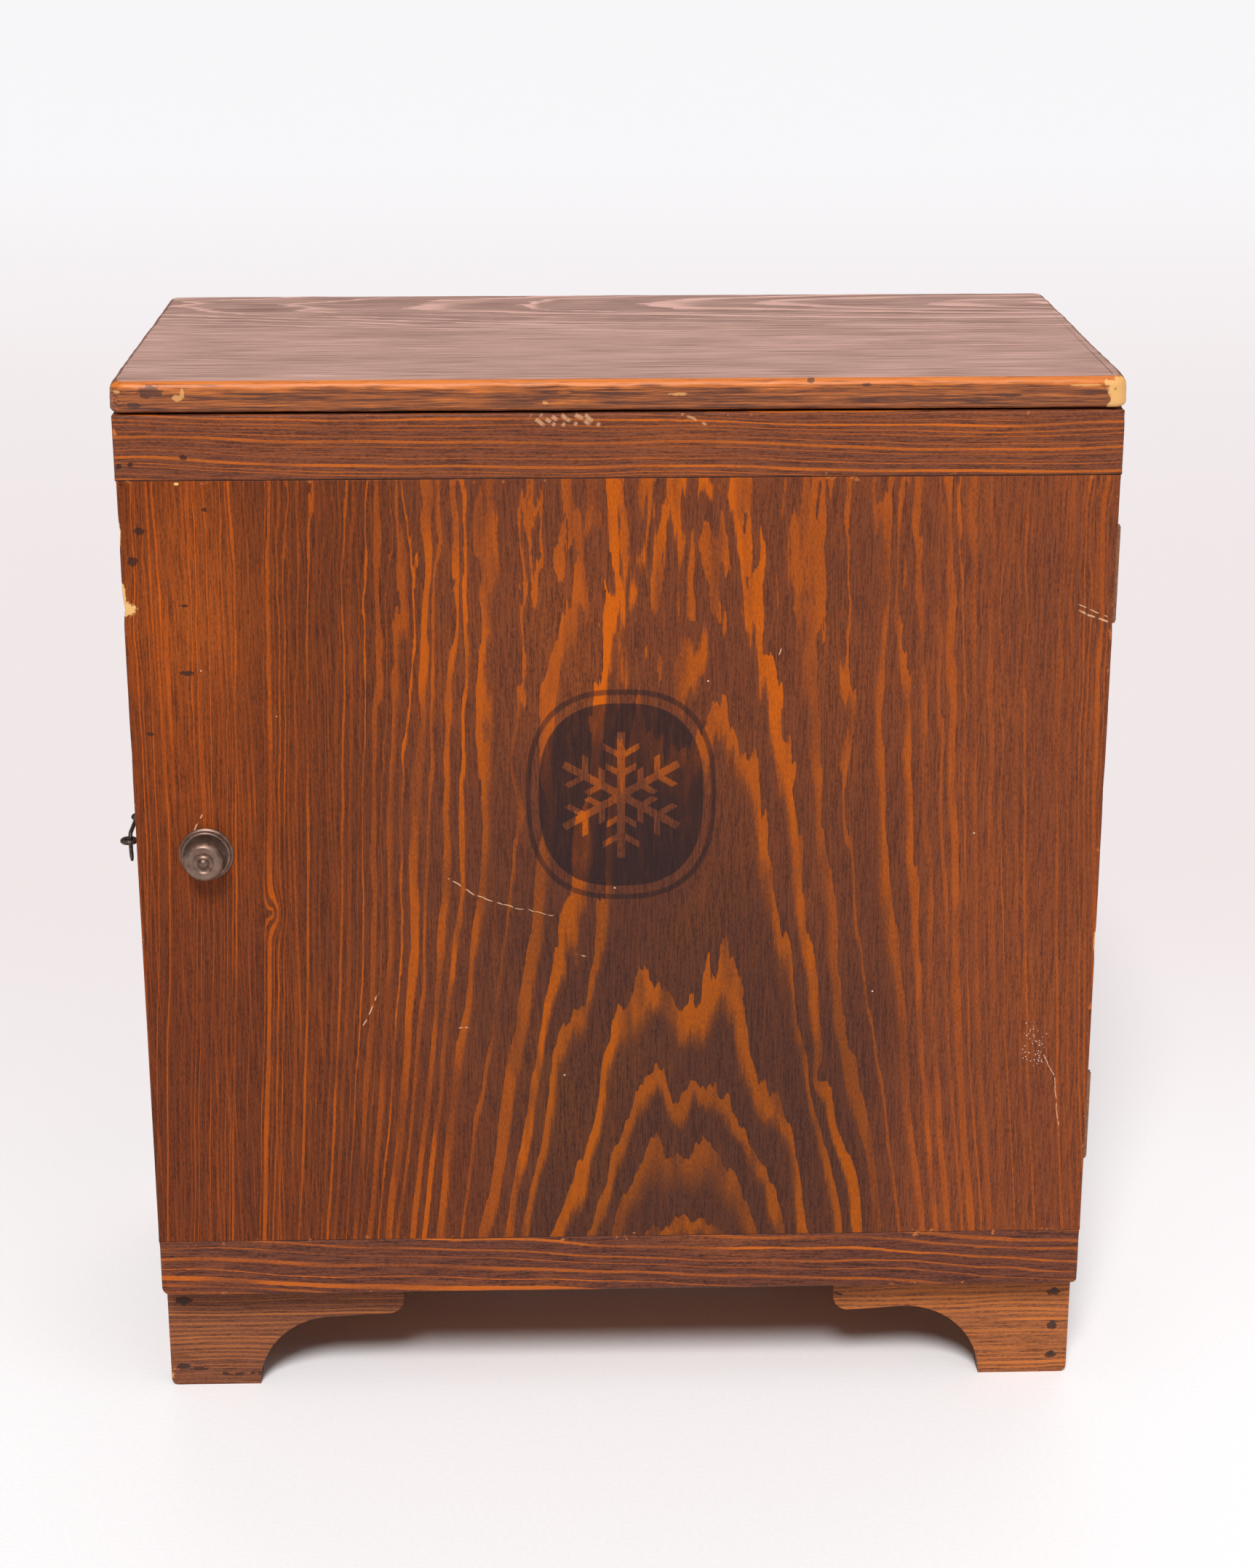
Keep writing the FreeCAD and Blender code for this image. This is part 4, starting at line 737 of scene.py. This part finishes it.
def door():
    low, high = corners("door_panel")
    rail_low, rail_high = corners("door_top_rail")
    foot_low, foot_high = corners("door_bottom_rail")
    front, back = -low.y, -high.y
    joint, worn_sides, worn_top, worn_bottom = 0.0006, 0.0014, 0.0016, 0.0018
    margin = 0.001

    # The panel's tongues are inside the rails, so it shows from rail to rail.
    bottom, top = foot_high.z, rail_low.z
    half = high.x

    def panel_edge(u, v):
        return worn_sides if bottom + margin < v < top - margin else joint

    outline = rounded_rectangle((low.x, bottom), (high.x, top), 0.0002)
    dents = [(-half, 0.548, 0.006, 0.0016), (-half, 0.596, 0.007, 0.0009), (half, 0.534, 0.004, 0.0005),
             (half, 0.322, 0.007, 0.0006), (-half, 0.455, 0.010, 0.0004), (half, 0.425, 0.012, 0.0004)]
    panel = board("door_panel_board", outline, back, front, upright, joint, panel_edge, seed=11, dents=dents)
    shape = dict(pith=(40, -137), slope=0.665, bend_mm=200, ring_mm=14, crowd=(160, 0.0011), wave_mm=7.0,
                 flare=(380, 600, 3.0), calm=(90, 220, 1.0, 0.25), valleys=((40, 15, 6.0), (-22, 9, 3.0)),
                 knots=((128, 230, 6), (-219, 348, 5)))
    material = stained_wood("door_panel_wood", ((low.x, low.y, bottom), (high.x, high.y, top)), "z", "y",
                            shape, DOOR_TONES, seed=2.0, wear=0.55, gloss=0.36, extra=door_marks,
                            zones=door_zones)
    stand_in(panel, "door_panel", "door", material)

    def top_edge(u, v):
        return worn_top if v > rail_low.z + margin else joint

    outline = rounded_rectangle((rail_low.x, rail_low.z), (rail_high.x, rail_high.z), 0.0006)
    dents = [(rail_high.x, rail_high.z, 0.006, 0.0012), (-0.034, rail_high.z, 0.012, 0.0007)]
    rail = board("door_top_rail_board", outline, back, front, upright, joint, top_edge, seed=23, dents=dents)
    shape = dict(pith=(480, -200), slope=0.03, ring_mm=3.3, crowd=(600, 0.0), jag_mm=1.0, wave_mm=4.0,
                 tilt=0.008, bold_lines=0.7)
    material = stained_wood("door_top_rail_wood", (rail_low, rail_high), "x", "y", shape, RAIL_TONES,
                            seed=5.0, wear=0.5, gloss=0.4, extra=rail_marks)
    stand_in(rail, "door_top_rail", "door", material)

    def low_edge(u, v):
        return worn_bottom if v < foot_high.z - margin else joint

    outline = rounded_rectangle((foot_low.x, foot_low.z), (foot_high.x, foot_high.z),
                                (0.006, 0.003, 0.0004, 0.0004))
    rail = board("door_bottom_rail_board", outline, back, front, upright, joint, low_edge, seed=37)
    shape = dict(pith=(20, -175), slope=0.07, ring_mm=6.5, crowd=(300, 0.0), jag_mm=1.6, wave_mm=4.5,
                 tilt=0.03, bold_lines=0.85)
    tones = dict(RAIL_TONES, dark=srgb(60, 34, 30), mid=srgb(106, 60, 44))
    material = stained_wood("door_bottom_rail_wood", (foot_low, foot_high), "x", "y", shape, tones,
                            seed=8.0, wear=0.5, gloss=0.4)
    stand_in(rail, "door_bottom_rail", "door", material)


def top_faces(graph, axes, late, colour, roughness, height):
    """The top's pale greyish colour is painted sheen; its rounded front has a painted highlight where it
    faces up, partly rubbed wear, and is streaked with dark.
    """
    across, along, depth = axes
    y, z = graph.split(graph.normal)[1:]
    patches = graph.noise(graph.join(graph.times(along, 1 / 90), graph.times(across, 1 / 30), depth),
                          detail=4.0, roughness=0.6)
    lines = graph.noise(graph.join(graph.times(along, 1 / 70), graph.times(across, 1 / 1.6), 2.0), detail=3.0,
                        roughness=0.6)
    # The figure shows most in the back third.
    figure = graph.ramp(across, 10, 70, 0.25, 1.0)
    tone = graph.add(0.5, graph.times(late, figure, 0.95), graph.times(figure, -0.2),
                     graph.times(patches, 0.9), graph.times(lines, 2.2))
    # Painted sheen: the top face gets a pale greyish colour, with the grain in it, that stands in for the
    # sheen of the light on it.
    painted_top_sheen = graph.mix(graph.ramp(tone, 0.0, 1.0, smooth=False), srgb(138, 104, 92), srgb(236, 190, 176))
    above = graph.ramp(z, 0.93, 0.995)
    colour = graph.mix(graph.times(above, 0.86), colour, painted_top_sheen)

    streaks = graph.noise(graph.join(graph.times(along, 1 / 32), graph.times(across, 1 / 1.1),
                                     graph.times(depth, 1 / 1.1)), detail=4.0, roughness=0.66)
    front = graph.times(graph.ramp(y, -0.35, -0.15, 1.0, 0.0), graph.ramp(z, 0.93, 0.985, 1.0, 0.0))
    stain = graph.mix(graph.ramp(streaks, -0.14, 0.1), srgb(80, 45, 33), srgb(144, 80, 42))
    stain = graph.mix(graph.ramp(streaks, 0.08, 0.24), stain, srgb(196, 106, 46))
    # Painted highlight, partly rubbed wear: the rounding that faces up is bright orange, the upright face
    # below it darker.
    highlight_and_rub = graph.mix(graph.ramp(streaks, -0.22, -0.02), srgb(126, 66, 38), srgb(204, 112, 42))
    highlight_and_rub = graph.mix(graph.ramp(streaks, 0.05, 0.25), highlight_and_rub, srgb(226, 132, 54))
    rounding = graph.ramp(graph.add(z, graph.times(patches, 0.6), graph.times(streaks, 0.8)), -0.05, 0.5)
    colour = graph.mix(front, colour, graph.mix(rounding, stain, highlight_and_rub))

    # Dark stains and pale dents along the front, and bare wood at the right front corner.
    face = (along, depth)
    dark = join_marks(graph, [spot(graph, face, place, size, ragged=0.4, scale_mm=3.0) for place, size in (
        ((-281, 682), (7.0, 3.6)), ((-291, 674), (4.0, 2.0)), ((114, 686.5), (2.4, 1.6)),
        ((148, 684), (3.0, 1.0)), ((232, 677), (9.0, 1.0)))])
    colour = graph.mix(graph.times(dark, front, 0.75), colour, srgb(62, 40, 34))
    pale = join_marks(graph, [spot(graph, face, place, size, ragged=0.4, scale_mm=3.0) for place, size in (
        ((-265, 678), (3.4, 2.0)), ((-262, 681), (1.4, 3.0)), ((-45, 674), (2.0, 1.2)),
        ((35, 679), (5.0, 0.9)), ((-301, 682), (2.4, 1.0)), ((280, 683), (9.0, 0.7)))])
    colour = graph.mix(graph.times(pale, front, 0.7), colour, srgb(214, 156, 92))
    bare = spot(graph, (across, along), (-148, 306), (8, 11), ragged=0.5, scale_mm=6.0)
    colour = graph.mix(graph.times(bare, 0.9), colour, srgb(226, 172, 104))
    cracks = join_marks(graph, [scratch(graph, (along, across), *ends, 0.8, seed) for ends, seed in (
        (((-250, 96), (-60, 92)), 1.0), (((20, 40), (240, 44)), 2.0), (((-280, -60), (-150, -62)), 3.0),
        (((90, -30), (200, -28)), 4.0))])
    colour = graph.mix(graph.times(cracks, above, 0.5), colour, srgb(84, 60, 54))
    roughness = graph.add(roughness, graph.times(above, 0.04))
    return colour, roughness, height


def top_board():
    low, high = corners("top_board")
    outline = rounded_rectangle((low.x, low.y), (high.x, high.y), 0.009)
    dents = [(high.x, low.y, 0.012, 0.0012), (low.x, low.y, 0.010, 0.0008), (-0.035, low.y, 0.006, 0.0008),
             (0.19, low.y, 0.009, 0.0005)]
    made = board("top_board_worn", outline, low.z, high.z, lying, low_radius=0.003, high_radius=0.0055,
                 seed=51, dents=dents)
    shape = dict(pith=(128, 640), slope=-0.13, ring_mm=11, crowd=(70, 0.0009), jag_mm=1.6, wave_mm=5.0)
    material = stained_wood("top_board_wood", (low, high), "x", "z", shape, TOP_TONES, seed=14.0, wear=0.5,
                            gloss=0.42, extra=top_faces, constants={"Specular IOR Level": 0.3})
    stand_in(made, "top_board", "case", material)


# ---------------------------------------------------------------- other materials

def metal(name, dark, bright, roughness, metallic, patina_mm, brushed=False):
    """Metal with a patchy skin; brushed metal is rubbed along X."""
    graph = Graph(name)
    patches = graph.noise(graph.steps(patina_mm), detail=4.0, roughness=0.6)
    if brushed:
        x, y, z = graph.split(graph.place)
        lines = graph.noise(graph.join(graph.times(x, 1 / 30), y, z), scale=1.2, detail=3.0)
        patches = graph.add(patches, graph.times(lines, 0.6))
    colour = graph.mix(graph.ramp(patches, -0.22, 0.22), dark, bright)
    rough = graph.add(graph.times(patches, 0.35), roughness)
    return graph.finish(colour, rough, patches, 0.05, {"Metallic": metallic})


def granular(name, dark, mid, light, grain_mm):
    """Pressed cork or felt: irregular grains of three tones."""
    graph = Graph(name)
    at = graph.steps(grain_mm)
    cells = graph.cells(at)
    tone = graph.noise(at, detail=3.0, roughness=0.7)
    colour = graph.mix(graph.ramp(tone, -0.2, 0.2), mid, light)
    colour = graph.mix(graph.ramp(cells, 0.45, 0.75), colour, dark)
    return graph.finish(colour, 0.92, cells, 0.4, {"Specular IOR Level": 0.15})


def dress(material, *names):
    """Give CAD nodes a material."""
    for name in names:
        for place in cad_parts[name].material_slots:
            place.material = material


def case_wood():
    for side, pith, seed in (("left", 30, 50.0), ("right", 52, 72.0)):
        low, high = corners(f"side_board_{side}")
        shape = dict(pith=(pith, low.x / MM - 60), slope=0.16, ring_mm=12, crowd=(80, 0.0012))
        dress(stained_wood(f"side_{side}_wood", (low, high), "z", "x", shape, SIDE_TONES, seed=seed, wear=0.4,
                           gloss=0.4), f"side_board_{side}")
    shape = dict(pith=(-60, 260), slope=0.12, ring_mm=12, crowd=(90, 0.0007))
    dress(stained_wood("back_wood", corners("back_board"), "z", "y", shape, SIDE_TONES, seed=33.0, wear=0.3,
                       gloss=0.5), "back_board")
    # The bottom's lighter stain gives the shadow under the icebox its warm tone.
    shape = dict(pith=(40, 10), slope=0.1, ring_mm=10, crowd=(90, 0.0009))
    dress(stained_wood("bottom_wood", corners("bottom_board"), "x", "z", shape, FOOT_TONES, seed=39.0,
                       wear=0.3, gloss=0.55), "bottom_board")


def bracket(name, along, flat, pith_across, seed, tones=FOOT_TONES, marks=None):
    """Wood of one half of a foot; its pith is 30 mm before its low face."""
    low, high = corners(name)
    shape = dict(pith=(pith_across, low["xyz".index(flat)] / MM - 30), slope=0.06, ring_mm=3.4,
                 crowd=(600, 0.0), jag_mm=1.2, wave_mm=3.6, tilt=0.02)
    dress(stained_wood(name + "_wood", (low, high), along, flat, shape, tones, seed=seed, wear=0.5, gloss=0.5,
                       extra=marks), name)


def feet():
    left = foot_marks((((-293, 64), (6.0, 2.6)), ((-296, 14), (3.4, 2.4)), ((-285, 12), (6.0, 1.2))),
                      ((-270, 8), (-225, 7)))
    right = foot_marks((((292.5, 61), (4.6, 2.4)), ((292.5, 35), (3.8, 2.8)), ((292.5, 13), (4.0, 2.4))),
                       ((135, 66), (152, 60)))
    for number, (place, tones, marks) in enumerate((
            ("front_left", LEFT_FOOT_TONES, left), ("front_right", FOOT_TONES, right),
            ("rear_left", FOOT_TONES, None), ("rear_right", FOOT_TONES, None))):
        bracket(f"foot_{place}", "x", "y", 130 + 20 * number, 44.0 + number, tones, marks)
    for number, place in enumerate(("front_left", "front_right", "rear_left", "rear_right")):
        bracket(f"foot_side_{place}", "y", "x", 130 + 15 * number, 54.0 + number)


def inner_wood():
    """Pale unstained wood inside; pieces cut from one wood share its rings."""
    whole = (Vector(cad_box[0]), Vector(cad_box[1]))
    for name, along, flat, pith_across, slope, ring_mm, seed, nodes in (
            ("frame_wood", "z", "y", -40, 0.06, 5, 61.0, ("stile_left", "stile_right", "glue_blocks")),
            ("rail_wood", "x", "y", 60, 0.06, 5, 66.0,
             ("frame_rail_top", "frame_rail_bottom", "door_plug_frame")),
            ("cleat_wood", "y", "x", 90, 0.05, 4, 71.0,
             ("tray_cleat_left", "tray_cleat_right", "shelf_cleat_left", "shelf_cleat_right"))):
        shape = dict(pith=(pith_across, -60), slope=slope, ring_mm=ring_mm, crowd=(200, 0.0004), jag_mm=0.8)
        dress(stained_wood(name, whole, along, flat, shape, INNER_TONES, seed=seed, wear=0.1, gloss=0.6),
              *nodes)


def plain_materials():
    dress(granular("cork", srgb(92, 62, 38), srgb(150, 108, 68), srgb(186, 142, 96), grain_mm=3.2),
          "insulation_left", "insulation_right", "insulation_back", "insulation_top", "insulation_bottom",
          "door_insulation")
    dress(granular("felt", srgb(70, 62, 54), srgb(104, 94, 84), srgb(128, 116, 104), grain_mm=0.7),
          "door_gasket")
    dress(metal("zinc", srgb(156, 160, 163), srgb(190, 194, 197), roughness=0.45, metallic=0.9,
                patina_mm=18.0, brushed=True),
          "liner_left", "liner_right", "liner_back", "liner_floor", "liner_ceiling", "ice_tray",
          "door_liner_sheet", "drain_pipe", "drip_pan")
    dress(metal("tinned_wire", srgb(130, 128, 122), srgb(200, 198, 190), roughness=0.35, metallic=1.0,
                patina_mm=5.0),
          "wire_shelf", "ice_rack")
    dress(metal("aged_brass", srgb(104, 82, 72), srgb(140, 114, 100), roughness=0.46, metallic=0.85,
                patina_mm=5.0),
          "knob", "knob_rose")
    dress(metal("browned_brass", srgb(112, 66, 42), srgb(158, 102, 62), roughness=0.5, metallic=0.35,
                patina_mm=4.0),
          "hinge_upper_case_leaf", "hinge_upper_door_leaf", "hinge_lower_case_leaf",
          "hinge_lower_door_leaf", "hinge_pins")
    dress(metal("dark_steel", srgb(46, 38, 34), srgb(104, 88, 78), roughness=0.5, metallic=0.8,
                patina_mm=2.0),
          "hook", "hook_pivot_eye", "hook_catch_eye", "hinge_screws_case", "hinge_screws_door", "knob_screw")
    dress(metal("rusted_nail", srgb(44, 30, 28), srgb(84, 56, 46), roughness=0.75, metallic=0.3,
                patina_mm=1.5),
          "case_nails", "foot_nails")


# ---------------------------------------------------------------- studio

def studio():
    world = bpy.data.worlds.new("studio")
    bpy.context.scene.world = world
    world.use_nodes = True
    tree = world.node_tree
    background = tree.nodes["Background"]
    direction = tree.nodes.new("ShaderNodeTexCoord")
    parts = tree.nodes.new("ShaderNodeSeparateXYZ")
    tree.links.new(direction.outputs["Generated"], parts.inputs[0])
    # A pale backdrop at the horizon, darker above it and dim overhead.
    levels = []
    for reach in ((0.0, 0.17, 0.95, 0.06), (0.3, 0.8, 0.0, 0.27)):
        level = tree.nodes.new("ShaderNodeMapRange")
        level.interpolation_type = "SMOOTHSTEP"
        tree.links.new(parts.outputs[2], level.inputs[0])
        for socket, number in zip(list(level.inputs)[1:5], reach):
            socket.default_value = number
        levels.append(level.outputs[0])
    total = tree.nodes.new("ShaderNodeMath")
    tree.links.new(levels[0], total.inputs[0])
    tree.links.new(levels[1], total.inputs[1])
    tree.links.new(total.outputs[0], background.inputs["Strength"])
    background.inputs["Color"].default_value = (1.0, 0.985, 0.985, 1)

    mesh = bmesh.new()
    bmesh.ops.create_circle(mesh, cap_ends=True, segments=96, radius=40)
    floor = piece("floor", mesh)
    graph = Graph("floor_paper")
    tooth = graph.noise(graph.steps(3), detail=2.0)
    near = graph.mix(graph.ramp(tooth, -0.3, 0.3), (0.925, 0.915, 0.925, 1), (0.955, 0.945, 0.955, 1))
    depth = graph.split(graph.place)[1]
    # Painted shade: the floor is darker behind the icebox, most just behind it, standing in for the fall of
    # the studio light.
    painted_falloff_floor = graph.mix(graph.ramp(depth, 1500, 7000), (0.79, 0.725, 0.73, 1), (0.86, 0.85, 0.865, 1))
    floor.data.materials.append(graph.finish(graph.mix(graph.ramp(depth, -300, 900), near, painted_falloff_floor), 0.9,
                                             constants={"Specular IOR Level": 0.1}))

    # High soft lights, so far away that they are suns with a wide disc.
    for name, place, spread, strength in (("key_light", (-0.12, -1.0, 1.17), 18, 2.87),
                                          ("fill_light", (0.8, -0.8, 1.6), 40, 0.3),
                                          ("back_light", (0.2, 1.0, 1.7), 40, 0.35)):
        data = bpy.data.lights.new(name, "SUN")
        data.angle = math.radians(spread)
        data.energy = strength
        light = bpy.data.objects.new(name, data)
        bpy.context.scene.collection.objects.link(light)
        light.location = place
        light.rotation_euler = (-Vector(place)).to_track_quat("-Z", "Y").to_euler()


def camera():
    """Camera of the photograph, found from the corners of the object in it."""
    place = (-0.0479, -1.8848, 1.0158)
    down_degrees, right_degrees = 18.556, 1.712
    data = bpy.data.cameras.new("camera")
    data.sensor_fit = "VERTICAL"
    data.sensor_height = 36
    data.lens = 67.18
    made = bpy.data.objects.new("camera", data)
    bpy.context.scene.collection.objects.link(made)
    made.location = place
    made.rotation_euler = (math.radians(90 - down_degrees), 0, math.radians(-right_degrees))
    bpy.context.scene.camera = made


door()
top_board()
case_wood()
feet()
inner_wood()
plain_materials()
studio()
camera()
bpy.context.scene.view_settings.view_transform = "Standard"
